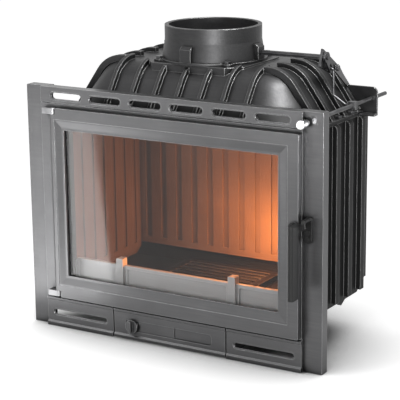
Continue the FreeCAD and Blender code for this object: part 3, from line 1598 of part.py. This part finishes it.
def rear_lining():
    body = new_body()
    half = side_inner - s.lining_gap
    near = lining_back - s.lining_thickness
    top = baffle_line(front + s.baffle_back)
    heel_clear = s.body_low + s.heel_rise + s.plate_thickness
    extrude(body, "Y", [rect(-half, heel_clear, half, top)], near, lining_back)
    count = int(2 * half.value / s.lining_groove_pitch.value)
    first = -s.lining_groove_pitch * (count - 1) / 2 - s.lining_groove_width / 2
    starts = [first + s.lining_groove_pitch * i for i in range(count)]
    grooves = [rect(x, heel_clear + s.lining_thickness, x + s.lining_groove_width, top + s.overrun)
               for x in starts]
    cut(body, "Y", grooves, near, near + s.lining_groove_depth)
    return keep("rear_lining", body)


def baffle_plate():
    """A sloping plate over the fire that sends the smoke forward before it reaches the flue."""
    near = front + s.baffle_front
    far = lining_back - s.lining_thickness
    lift = s.baffle_thickness
    profile = [(far, baffle_line(far)), (near, baffle_line(near)), (near, baffle_line(near) + lift),
               (far, baffle_line(far) + lift)]
    half = side_inner - s.lining_gap - s.soft_clearance
    return keep("baffle_plate", prism("X", [profile], -half, half))


front_frame()
flange("left_flange", -1)
flange("right_flange", 1)
top_grille()
lower_grille("left_grille", -1)
lower_grille("right_grille", 1)
door_frame()
door_glass()
glass_tape()
glass_clips()
clip_screws()
door_rope()
hinge_block("lower_hinge_block", lower_block)
hinge_block("upper_hinge_block", upper_block)
hinge_pins()
hinge_washers()
handle_lever()
handle_grip()
pivot_bolt()
pivot_washer()
latch_catch()
catch_screws()
side_panel("left_side", -1)
side_panel("right_side", 1)
rear_panel()
base_plate()
hood()
hood_bolts()
collar_lugs(flue_collar())
collar_flange()
collar_bolts()
damper_shaft()
damper_flap()
flap_screws()
damper_support()
damper_crank()
damper_rod()
rod_knob()
rod_bush()
rod_clamp()
damper_link()
damper_bracket()
support_bolt()
ash_housing()
drawer_front()
ash_pan()
pan_screws()
air_slide()
air_knob()
grate()
log_guard()
side_lining("left_lining", -1)
side_lining("right_lining", 1)
rear_lining()
baffle_plate()

doc.recompute()
faults = []
for item in doc.Objects:
    if any(word in item.State for word in ("Invalid", "Error")):
        faults.append("%s in %s: %s" % (item.Label, item.getParentGeoFeatureGroup(), item.State))
    if item.TypeId == "PartDesign::Pocket" and item.BaseFeature is not None:
        if item.Shape.Volume >= item.BaseFeature.Shape.Volume:
            faults.append("%s cuts nothing" % item.Label)
for piece in nodes:
    if piece.Shape.isNull() or not piece.Shape.isValid():
        faults.append("%s has no valid shape" % piece.Label)
if faults:
    raise RuntimeError("; ".join(faults))

os.makedirs("parts", exist_ok=True)
for piece in nodes:
    piece.Shape.exportStep("parts/%s.step" % piece.Label)
print("%d sub-parts written" % len(nodes))
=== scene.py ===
import json
import math

import bpy
from mathutils import Matrix, Vector


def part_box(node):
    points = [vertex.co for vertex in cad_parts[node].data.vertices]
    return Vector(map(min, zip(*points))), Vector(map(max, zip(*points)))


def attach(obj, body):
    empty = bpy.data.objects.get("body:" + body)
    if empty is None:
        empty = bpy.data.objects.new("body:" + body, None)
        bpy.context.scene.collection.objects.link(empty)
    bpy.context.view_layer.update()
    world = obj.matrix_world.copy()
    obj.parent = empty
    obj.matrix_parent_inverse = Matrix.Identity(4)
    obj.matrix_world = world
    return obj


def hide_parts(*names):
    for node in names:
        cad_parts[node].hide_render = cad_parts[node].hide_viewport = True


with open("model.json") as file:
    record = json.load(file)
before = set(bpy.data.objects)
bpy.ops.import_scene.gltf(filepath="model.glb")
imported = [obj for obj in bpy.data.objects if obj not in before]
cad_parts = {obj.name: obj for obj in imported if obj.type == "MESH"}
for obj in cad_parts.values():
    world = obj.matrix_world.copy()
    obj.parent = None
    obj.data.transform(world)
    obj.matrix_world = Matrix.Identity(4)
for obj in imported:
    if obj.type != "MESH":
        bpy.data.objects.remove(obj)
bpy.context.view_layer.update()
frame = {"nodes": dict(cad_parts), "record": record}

nodes = frame["nodes"]
scene = bpy.context.scene


# Shader helpers

BEVEL_SAMPLES = 6
CREVICE_SAMPLES = 6


class Shader:
    """A small wrapper that adds nodes to one material and links them in reading order."""

    def __init__(self, name):
        self.material = bpy.data.materials.new(name)
        self.material.use_nodes = True
        self.tree = self.material.node_tree
        self.tree.nodes.clear()
        self.output = self.tree.nodes.new("ShaderNodeOutputMaterial")
        self.place = self.add("ShaderNodeTexCoord").outputs["Object"]

    def add(self, kind, settings=None, **sockets):
        node = self.tree.nodes.new(kind)
        for key, value in (settings or {}).items():
            setattr(node, key, value)
        for key, value in sockets.items():
            self.put(node.inputs[key.replace("_", " ")], value)
        return node

    def put(self, socket, value):
        if isinstance(value, bpy.types.NodeSocket):
            self.tree.links.new(value, socket)
        else:
            socket.default_value = value

    def put_colour(self, socket, colour):
        is_socket = isinstance(colour, bpy.types.NodeSocket)
        self.put(socket, colour if is_socket else tuple(colour) + (1.0,))

    def noise(self, scale, detail=3.0, rough=0.55, vector=None):
        node = self.add("ShaderNodeTexNoise", Scale=scale, Detail=detail, Roughness=rough)
        self.put(node.inputs["Vector"], vector or self.place)
        return node.outputs["Fac"]

    def cells(self, scale):
        node = self.add("ShaderNodeTexVoronoi", Scale=scale)
        self.put(node.inputs["Vector"], self.place)
        return node.outputs["Distance"]

    def stretch_along_x(self, factor):
        node = self.add("ShaderNodeMapping")
        self.put(node.inputs["Vector"], self.place)
        node.inputs["Scale"].default_value = (factor, 1.0, 1.0)
        return node.outputs["Vector"]

    def spread(self, value, low, high, to_low=0.0, to_high=1.0):
        """Maps low to high onto to_low to to_high, and holds the ends outside that."""
        node = self.add("ShaderNodeMapRange")
        self.put(node.inputs["Value"], value)
        node.inputs["From Min"].default_value = low
        node.inputs["From Max"].default_value = high
        node.inputs["To Min"].default_value = to_low
        node.inputs["To Max"].default_value = to_high
        return node.outputs["Result"]

    def math(self, kind, first, second):
        node = self.add("ShaderNodeMath", {"operation": kind})
        self.put(node.inputs[0], first)
        self.put(node.inputs[1], second)
        return node.outputs["Value"]

    def mix(self, share, first, second):
        node = self.add("ShaderNodeMix", {"data_type": "RGBA"})
        share_socket, first_socket, second_socket = node.inputs[0], node.inputs[6], node.inputs[7]
        self.put(share_socket, share)
        self.put_colour(first_socket, first)
        self.put_colour(second_socket, second)
        return node.outputs[2]

    def blend(self, share, first, second):
        node = self.add("ShaderNodeMixShader")
        for socket, value in zip(node.inputs, (share, first, second)):
            self.put(socket, value)
        return node.outputs["Shader"]

    def rounded(self, radius):
        return self.add("ShaderNodeBevel", {"samples": BEVEL_SAMPLES}, Radius=radius).outputs["Normal"]

    def edges(self, radius, low, high):
        """1 along sharp outer and inner edges, 0 on flats."""
        turn = self.add("ShaderNodeVectorMath", {"operation": "DOT_PRODUCT"})
        self.put(turn.inputs[0], self.rounded(radius))
        self.put(turn.inputs[1], self.add("ShaderNodeNewGeometry").outputs["Normal"])
        return self.spread(turn.outputs["Value"], high, low)

    def crevice(self, reach, share):
        """Painted shade: share deep in narrow gaps, recesses and inner corners, 0 on open faces."""
        node = self.add("ShaderNodeAmbientOcclusion", {"samples": CREVICE_SAMPLES}, Distance=reach)
        return self.spread(node.outputs["AO"], low=0.38, high=0.82, to_low=share, to_high=0.0)

    def bump(self, height, strength, distance, radius=None):
        node = self.add("ShaderNodeBump", Strength=strength, Distance=distance)
        self.put(node.inputs["Height"], height)
        if radius:
            self.put(node.inputs["Normal"], self.rounded(radius))
        return node.outputs["Normal"]

    def finish(self, surface):
        self.tree.links.new(surface, self.output.inputs["Surface"])
        return self.material


def principled(shader, colour, rough, normal=None, metallic=0.0, specular=0.5):
    """The surface that every opaque finish ends in."""
    node = shader.add("ShaderNodeBsdfPrincipled", Metallic=metallic)
    shader.put_colour(node.inputs["Base Color"], colour)
    shader.put(node.inputs["Roughness"], rough)
    node.inputs["Specular IOR Level"].default_value = specular
    if normal:
        shader.put(node.inputs["Normal"], normal)
    return node.outputs["BSDF"]


# Finishes

# Painted shade: the near-black tone for the low shade and the recess shade, how fast the low shade fades, and
# how much rougher it makes the surface.
SHADE_BLACK = (0.004, 0.004, 0.004)
SHADE_FADE = 0.02
SHADE_ROUGHENING = 0.12
SPECK_SHARE = 0.2
SPECK_GRAIN_SHARE = 1.7
PIT_GRAIN_SHARE = 0.6
PIT_DEPTH_SHARE = 0.5
GLOSS_BELOW, GLOSS_ABOVE = 0.015, 0.04


def cast_paint(name, dark, light, worn_lit_edge_tone, rough, grain, depth, metallic=0.0, specular=0.5, edge=0.0012,
               low_shade=None, crevice_shade=None, round_edge=0.0006):
    """Sprayed paint over a sand casting: pebbled skin, cloudy tone, rubbed edges that are partly wear and
    partly a painted edge highlight, painted shade below a given height and painted shade in gaps and
    recesses.
    """
    shader = Shader(name)
    cloud = shader.spread(shader.noise(scale=9.0, detail=4.0), low=0.3, high=0.7)
    speck = shader.spread(shader.noise(scale=grain * SPECK_GRAIN_SHARE, detail=2.0), low=0.35, high=0.65)
    tone = shader.mix(cloud, dark, light)
    tone = shader.mix(shader.math("MULTIPLY", speck, SPECK_SHARE), tone, light)
    brush = shader.noise(scale=300.0, detail=2.0, rough=0.5, vector=shader.stretch_along_x(0.04))
    tone = shader.mix(shader.spread(brush, low=0.35, high=0.65, to_low=0.0, to_high=0.5), tone, dark)
    # Painted shade: below the given height the tone fades to near black for the shade on the lower walls, and
    # the surface gets rougher there.
    if low_shade:
        level, share = low_shade
        split = shader.add("ShaderNodeSeparateXYZ")
        shader.put(split.inputs["Vector"], shader.place)
        low_shade_mask = shader.spread(split.outputs["Z"], level, level + SHADE_FADE, to_low=share, to_high=0.0)
        tone = shader.mix(low_shade_mask, tone, SHADE_BLACK)
    # Painted shade: ambient occlusion darkens the tone in gaps, recesses and inner corners.
    if crevice_shade:
        reach, share = crevice_shade
        tone = shader.mix(shader.crevice(reach, share), tone, SHADE_BLACK)
    # Edge tone: partly rubbed paint and partly a painted highlight along edges and rib crests.
    patchy_edge = shader.spread(shader.noise(scale=40.0), low=0.35, high=0.7, to_low=0.6, to_high=1.0)
    rub_and_highlight = shader.math("MULTIPLY", shader.edges(edge, low=0.88, high=0.98), patchy_edge)
    tone = shader.mix(rub_and_highlight, tone, worn_lit_edge_tone)
    pits = shader.math("MULTIPLY", shader.cells(scale=grain * PIT_GRAIN_SHARE), PIT_DEPTH_SHARE)
    height = shader.math("ADD", shader.noise(scale=grain, detail=3.0, rough=0.6), pits)
    normal = shader.bump(height, strength=0.6, distance=depth, radius=round_edge)
    gloss = shader.spread(shader.noise(scale=35.0, detail=3.0), low=0.3, high=0.7,
                          to_low=rough - GLOSS_BELOW, to_high=rough + GLOSS_ABOVE)
    if low_shade:
        gloss = shader.math("ADD", gloss, shader.math("MULTIPLY", low_shade_mask, SHADE_ROUGHENING))
    return shader.finish(principled(shader, tone, gloss, normal, metallic, specular))


EDGE_BRIGHTENING = 1.35
STREAK_BELOW, STREAK_ABOVE = 0.08, 0.12


def steel(name, dark, light, rough, edge=0.0006):
    """Plain or blackened steel: faint drawn streaks, dull patches and brighter edges."""
    shader = Shader(name)
    streak = shader.noise(scale=90.0, detail=3.0, rough=0.6, vector=shader.stretch_along_x(0.15))
    patch = shader.spread(shader.noise(scale=45.0, detail=4.0), low=0.35, high=0.7)
    tone = shader.mix(patch, dark, light)
    bright = [min(1.0, value * EDGE_BRIGHTENING) for value in light]
    tone = shader.mix(shader.edges(edge, low=0.9, high=0.99), tone, bright)
    gloss = shader.spread(shader.math("ADD", streak, patch), low=0.5, high=1.5,
                          to_low=rough - STREAK_BELOW, to_high=rough + STREAK_ABOVE)
    normal = shader.bump(streak, strength=0.25, distance=0.0002, radius=edge)
    return shader.finish(principled(shader, tone, gloss, normal, metallic=1.0))


CHROME_DARK, CHROME_LIGHT = (0.80, 0.81, 0.82), (0.88, 0.88, 0.89)


def chrome(name):
    """Polished chrome with a slight haze."""
    shader = Shader(name)
    haze = shader.noise(scale=160.0, detail=3.0)
    gloss = shader.spread(haze, low=0.3, high=0.7, to_low=0.14, to_high=0.22)
    tone = shader.mix(shader.spread(haze, low=0.4, high=0.65), CHROME_DARK, CHROME_LIGHT)
    normal = shader.bump(haze, strength=0.05, distance=0.0001, radius=0.0008)
    return shader.finish(principled(shader, tone, gloss, normal, metallic=1.0))


PANE_TINT = (0.96, 0.96, 0.96, 1.0)
PANE_IOR = 1.33


def glass(name):
    """Clear ceramic pane: see-through, with reflections that grow at a shallow angle and a faint haze."""
    shader = Shader(name)
    haze = shader.spread(shader.noise(scale=4.0, detail=4.0), low=0.35, high=0.75, to_low=0.05, to_high=0.09)
    clear = shader.add("ShaderNodeBsdfTransparent").outputs["BSDF"]
    clear.node.inputs["Color"].default_value = PANE_TINT
    shine = shader.add("ShaderNodeBsdfGlossy").outputs["BSDF"]
    shader.put(shine.node.inputs["Roughness"], haze)
    share = shader.add("ShaderNodeFresnel", IOR=PANE_IOR).outputs["Fac"]
    return shader.finish(shader.blend(share, clear, shine))


ROPE_DARK, ROPE_LIGHT = (0.045, 0.045, 0.045), (0.15, 0.15, 0.145)
FUZZ_SHARE = 0.4


def rope(name):
    """Braided glass-fibre rope: slanting strands with loose fuzz."""
    shader = Shader(name)
    wave = shader.add("ShaderNodeTexWave", {"bands_direction": "DIAGONAL"},
                      Scale=160.0, Distortion=3.0, Detail=2.0)
    shader.put(wave.inputs["Vector"], shader.place)
    strand = wave.outputs["Fac"]
    fuzz = shader.noise(scale=900.0, detail=2.0)
    tone = shader.mix(strand, ROPE_DARK, ROPE_LIGHT)
    height = shader.math("ADD", strand, shader.math("MULTIPLY", fuzz, FUZZ_SHARE))
    normal = shader.bump(height, strength=0.8, distance=0.0008)
    return shader.finish(principled(shader, tone, rough=0.92, normal=normal, specular=0.2))


# Painted shade: the dark iron goes near black below this height, by this share.
SHADE_LEVEL, SHADE_SHARE = 0.490, 0.84

# The edge tone in each finish is partly wear and partly a painted highlight; the recess darkening and the low
# darkening are painted shade.
materials = {
    "grey_cast_iron": cast_paint(
        "grey_cast_iron", dark=(0.115, 0.115, 0.118), light=(0.152, 0.152, 0.155), worn_lit_edge_tone=(0.48, 0.48, 0.485),
        rough=0.30, grain=620.0, depth=0.00004, metallic=0.6, edge=0.0016, crevice_shade=(0.02, 0.95)),
    "pale_cast_iron": cast_paint(
        "pale_cast_iron", dark=(0.56, 0.56, 0.56), light=(0.66, 0.66, 0.66), worn_lit_edge_tone=(0.90, 0.90, 0.90),
        rough=0.40, grain=520.0, depth=0.0001, metallic=0.05, edge=0.0030, crevice_shade=(0.008, 0.8)),
    "dark_cast_iron": cast_paint(
        "dark_cast_iron", dark=(0.032, 0.032, 0.033), light=(0.055, 0.055, 0.056), worn_lit_edge_tone=(0.22, 0.22, 0.22),
        rough=0.45, grain=420.0, depth=0.00015, metallic=0.6, specular=0.3, edge=0.0025,
        low_shade=(SHADE_LEVEL, SHADE_SHARE), crevice_shade=(0.02, 0.9), round_edge=0.0022),
    "heated_cast_iron": cast_paint(
        "heated_cast_iron", dark=(0.075, 0.058, 0.048), light=(0.125, 0.096, 0.080), worn_lit_edge_tone=(0.18, 0.14, 0.115),
        rough=0.70, grain=420.0, depth=0.00010, specular=0.2, edge=0.002, crevice_shade=(0.02, 0.6)),
    "black_enamel": cast_paint(
        "black_enamel", dark=(0.006, 0.006, 0.006), light=(0.011, 0.011, 0.011), worn_lit_edge_tone=(0.03, 0.03, 0.03),
        rough=0.36, grain=900.0, depth=0.00008, specular=0.4, edge=0.0008),
    "sheet_steel": cast_paint(
        "sheet_steel", dark=(0.03, 0.03, 0.031), light=(0.05, 0.05, 0.052), worn_lit_edge_tone=(0.09, 0.09, 0.09),
        rough=0.5, grain=1400.0, depth=0.00005, metallic=0.3, specular=0.4, edge=0.0006),
    "plain_steel": steel("plain_steel", dark=(0.22, 0.22, 0.225), light=(0.38, 0.38, 0.385), rough=0.42),
    "blackened_steel": steel(
        "blackened_steel", dark=(0.045, 0.045, 0.047), light=(0.10, 0.10, 0.102), rough=0.40),
    "bright_chrome": chrome("bright_chrome"),
    "ceramic_glass": glass("ceramic_glass"),
    "sealing_rope": rope("sealing_rope"),
}
slots = {row["node"]: row["material_slot"] for row in frame["record"]["subparts"]}
for name in ("left_lining", "right_lining", "rear_lining", "baffle_plate"):
    slots[name] = "heated_cast_iron"
for name, node in nodes.items():
    finish = materials[slots[name]]
    if not node.data.materials:
        node.data.materials.append(finish)
    for i in range(len(node.data.materials)):
        node.data.materials[i] = finish


# Seals of the door: a braided rope in its groove and a thin tape under the pane

QUARTER_TURN = math.pi / 2
CORNER_SIGNS = ((1, 1), (-1, 1), (-1, -1), (1, -1))
FEWEST_BENDS = 3
BRAID_PITCH_SHARE = 1.1


def direction(quarters):
    return Vector((math.cos(quarters * QUARTER_TURN), math.sin(quarters * QUARTER_TURN)))


def loop_points(half_x, half_z, corner, step):
    """Points and outward directions along a rounded rectangle, about a step apart."""
    centres = [Vector((sx * (half_x - corner), sz * (half_z - corner))) for sx, sz in CORNER_SIGNS]
    points = []
    for k, centre in enumerate(centres):
        bends = max(FEWEST_BENDS, round(corner * QUARTER_TURN / step))
        for j in range(bends):
            out = direction(k + j / bends)
            points.append((centre + out * corner, out))
        out = direction(k + 1)
        start = centre + out * corner
        end = centres[(k + 1) % len(centres)] + out * corner
        runs = max(1, round((end - start).length / step))
        points += [(start.lerp(end, j / runs), out) for j in range(runs)]
    return points


def seal_loop(node, width, corner, step, sides, square, strands, swell):
    """A closed soft tube in the space of its solid: squashed section, raised strands of a two-way braid."""
    low, high = (Vector(c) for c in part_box(node))
    middle, half = (low + high) / 2, (high - low) / 2
    path = loop_points(half.x - width / 2, half.z - width / 2, corner, step)
    crossings = 2 * round(len(path) * step / (width * BRAID_PITCH_SHARE) / 2)
    verts = []
    for i, (place, out) in enumerate(path):
        along = math.pi * crossings * i / len(path)
        for j in range(sides):
            angle = 2 * math.pi * j / sides
            c, s = math.cos(angle), math.sin(angle)
            wide = math.copysign(abs(c) ** square, c) * width / 2
            deep = math.copysign(abs(s) ** square, s) * half.y
            lay = strands * angle / 2
            raised = max(abs(math.sin(along + lay)), abs(math.sin(along - lay)))
            size = 1.0 - swell * (1.0 - raised)
            spot = place + out * wide * size
            verts.append((middle.x + spot.x, middle.y + deep * size, middle.z + spot.y))
    faces = []
    for i in range(len(path)):
        k = (i + 1) % len(path)
        for j in range(sides):
            m = (j + 1) % sides
            faces.append((i * sides + j, k * sides + j, k * sides + m, i * sides + m))
    mesh = bpy.data.meshes.new(node + "_braid")
    mesh.from_pydata(verts, [], faces)
    mesh.polygons.foreach_set("use_smooth", [True] * len(mesh.polygons))
    mesh.materials.append(materials["sealing_rope"])
    mesh.update()
    piece = bpy.data.objects.new(node + "_braid", mesh)
    scene.collection.objects.link(piece)
    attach(piece, "door")
    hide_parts(node)


seal_loop("door_rope", width=0.0084, corner=0.014, step=0.0016, sides=20, square=0.75, strands=8, swell=0.14)
seal_loop("glass_tape", width=0.0080, corner=0.004, step=0.0040, sides=12, square=0.30, strands=0, swell=0.0)


# Stage: a white floor and surround that camera, reflections and glass all see

CAMERA_RAYS = ("Is Camera Ray",)
MIRRORED_RAYS = ("Is Glossy Ray", "Is Transmission Ray")
WHITE = (1.0, 1.0, 1.0, 1.0)
FLOOR_SIZE = 30.0
FLOOR_DROP = 0.0005
FLOOR_TONE = 0.55
SHADOW_REACH = 0.35
SHADOW_SAMPLES = 16
SURROUND_STRENGTH = 1.0
FILL_STRENGTH = 0.04


def any_ray(tree, kinds):
    """1 for rays of any of these kinds, 0 for the rest."""
    rays = tree.nodes.new("ShaderNodeLightPath")
    share = rays.outputs[kinds[0]]
    for kind in kinds[1:]:
        either = tree.nodes.new("ShaderNodeMath")
        either.operation = "MAXIMUM"
        tree.links.new(share, either.inputs[0])
        tree.links.new(rays.outputs[kind], either.inputs[1])
        share = either.outputs["Value"]
    return share


def stage_material(name):
    """Matte floor that shows white in the open and takes the lamps' shadows, with a painted shadow that
    darkens its white glow where the object stands close over it.
    """
    shader = Shader(name)
    matte = shader.add("ShaderNodeBsdfDiffuse").outputs["BSDF"]
    matte.node.inputs["Color"].default_value = (FLOOR_TONE, FLOOR_TONE, FLOOR_TONE, 1.0)
    # Painted shadow: ambient occlusion dims the white glow under and beside the object.
    near = shader.add("ShaderNodeAmbientOcclusion", {"samples": SHADOW_SAMPLES}, Distance=SHADOW_REACH)
    white_with_painted_shadow = shader.add("ShaderNodeEmission").outputs["Emission"]
    shader.put(white_with_painted_shadow.node.inputs["Strength"], shader.spread(near.outputs["AO"], low=0.36, high=0.82))
    both = shader.add("ShaderNodeAddShader")
    shader.put(both.inputs[0], matte)
    shader.put(both.inputs[1], white_with_painted_shadow)
    surface = shader.blend(any_ray(shader.tree, MIRRORED_RAYS), matte, white_with_painted_shadow)
    surface = shader.blend(any_ray(shader.tree, CAMERA_RAYS), surface, both.outputs["Shader"])
    shader.material.cycles.emission_sampling = "NONE"
    return shader.finish(surface)


def white_surround(name):
    """A world that shows white and lights matte faces only a little."""
    world = bpy.data.worlds.new(name)
    world.use_nodes = True
    tree = world.node_tree
    tree.nodes.clear()
    blend = tree.nodes.new("ShaderNodeMixShader")
    tree.links.new(any_ray(tree, CAMERA_RAYS + MIRRORED_RAYS), blend.inputs[0])
    for socket, strength in zip(blend.inputs[1:], (FILL_STRENGTH, SURROUND_STRENGTH)):
        light = tree.nodes.new("ShaderNodeBackground")
        light.inputs["Color"].default_value = WHITE
        light.inputs["Strength"].default_value = strength
        tree.links.new(light.outputs["Background"], socket)
    out = tree.nodes.new("ShaderNodeOutputWorld")
    tree.links.new(blend.outputs["Shader"], out.inputs["Surface"])
    return world


bpy.ops.mesh.primitive_plane_add(size=FLOOR_SIZE, location=(0.0, 0.0, -FLOOR_DROP))
floor = bpy.context.object
floor.name = "floor"
floor.data.materials.append(stage_material("floor_white"))
scene.world = white_surround("studio")


# Lamps: none of them shows to the camera

def hang_lamp(name, kind, place, power):
    lamp = bpy.data.lights.new(name, kind)
    lamp.energy = power
    holder = bpy.data.objects.new(name, lamp)
    scene.collection.objects.link(holder)
    holder.location = place
    holder.visible_camera = False
    return holder


def soft_box(name, place, size, power):
    holder = hang_lamp(name, "AREA", place, power)
    holder.data.shape = "RECTANGLE"
    holder.data.size, holder.data.size_y = size
    return holder


def area_light(name, place, aim, size, power, diffuse=True, glossy=True):
    """A rectangular soft lamp for matte faces, for reflections or for both."""
    holder = soft_box(name, place, size, power)
    holder.rotation_euler = (Vector(aim) - Vector(place)).to_track_quat("-Z", "Y").to_euler()
    holder.visible_diffuse = diffuse
    holder.visible_glossy = glossy


def floor_panel(name, start, end, width, power):
    """A soft strip that lies on the floor, faces up and shows only in reflections."""
    start, end = Vector(start), Vector(end)
    run = end - start
    holder = soft_box(name, (start + end) / 2, (run.length, width), power)
    holder.rotation_euler = (math.pi, 0.0, math.atan2(run.y, run.x))
    holder.visible_diffuse = False


def glow_light(name, place, size, power, colour):
    """A coloured glow on matte faces, itself out of sight."""
    holder = hang_lamp(name, "POINT", place, power)
    holder.data.color = colour
    holder.data.shadow_soft_size = size
    holder.visible_glossy = holder.visible_transmission = False


area_light("left", place=(-1.40, -1.40, 0.60), aim=(-0.3, -0.19, 0.3), size=(0.7, 0.9), power=3.5,
           glossy=False)
area_light("knob", place=(-0.143, -1.08, 0.296), aim=(0.309, -0.21, 0.495), size=(0.12, 0.12), power=0.25,
           diffuse=False)
area_light("strip", place=(1.08, -1.82, 0.20), aim=(0.0, 0.0, 0.5), size=(0.22, 1.2), power=85.0,
           diffuse=False)
area_light("over", place=(1.10, -0.20, 2.20), aim=(0.2, -0.1, 0.5), size=(0.7, 0.7), power=115.0,
           diffuse=False)
area_light("high", place=(-1.5, -1.5, 1.9), aim=(0.0, -0.1, 0.5), size=(0.9, 0.9), power=9.0)
area_light("top", place=(-0.3, 0.2, 2.0), aim=(0.0, 0.0, 0.5), size=(1.2, 0.6), power=3.0)
area_light("side", place=(1.7, 0.7, 0.9), aim=(0.3, 0.0, 0.3), size=(0.2, 1.2), power=0.2)
floor_panel("left_panel", start=(-0.37, -0.34, 0.01), end=(-1.90, -2.41, 0.01), width=0.225, power=8.0)
area_light("guard", place=(-0.45, -1.20, 0.42), aim=(0.0, -0.15, 0.13), size=(0.3, 0.3), power=5.5,
           glossy=False)
glow_light("embers", place=(0.10, 0.01, 0.19), size=0.08, power=8.0, colour=(1.0, 0.30, 0.06))


# Camera at the photograph's angle

SENSOR_MM, FOCAL_MM = 36.0, 139.28
azimuth, elevation, roll = math.radians(31.30), math.radians(14.22), math.radians(-0.6875)
target = Vector((0.0736, -0.182, 0.3177))
distance = 3.0584
level = math.cos(elevation)
back = Vector((math.sin(azimuth) * level, -math.cos(azimuth) * level, math.sin(elevation)))
right = Vector((math.cos(azimuth), math.sin(azimuth), 0.0))
up = back.cross(right)
turned_right = right * math.cos(roll) + up * math.sin(roll)
turned_up = up * math.cos(roll) - right * math.sin(roll)
lens = bpy.data.cameras.new("camera")
lens.sensor_width = SENSOR_MM
lens.lens = FOCAL_MM
camera = bpy.data.objects.new("camera", lens)
scene.collection.objects.link(camera)
turn = Matrix((turned_right, turned_up, back)).transposed().to_4x4()
camera.matrix_world = Matrix.Translation(target + back * distance) @ turn
scene.camera = camera
scene.view_settings.view_transform = "Standard"
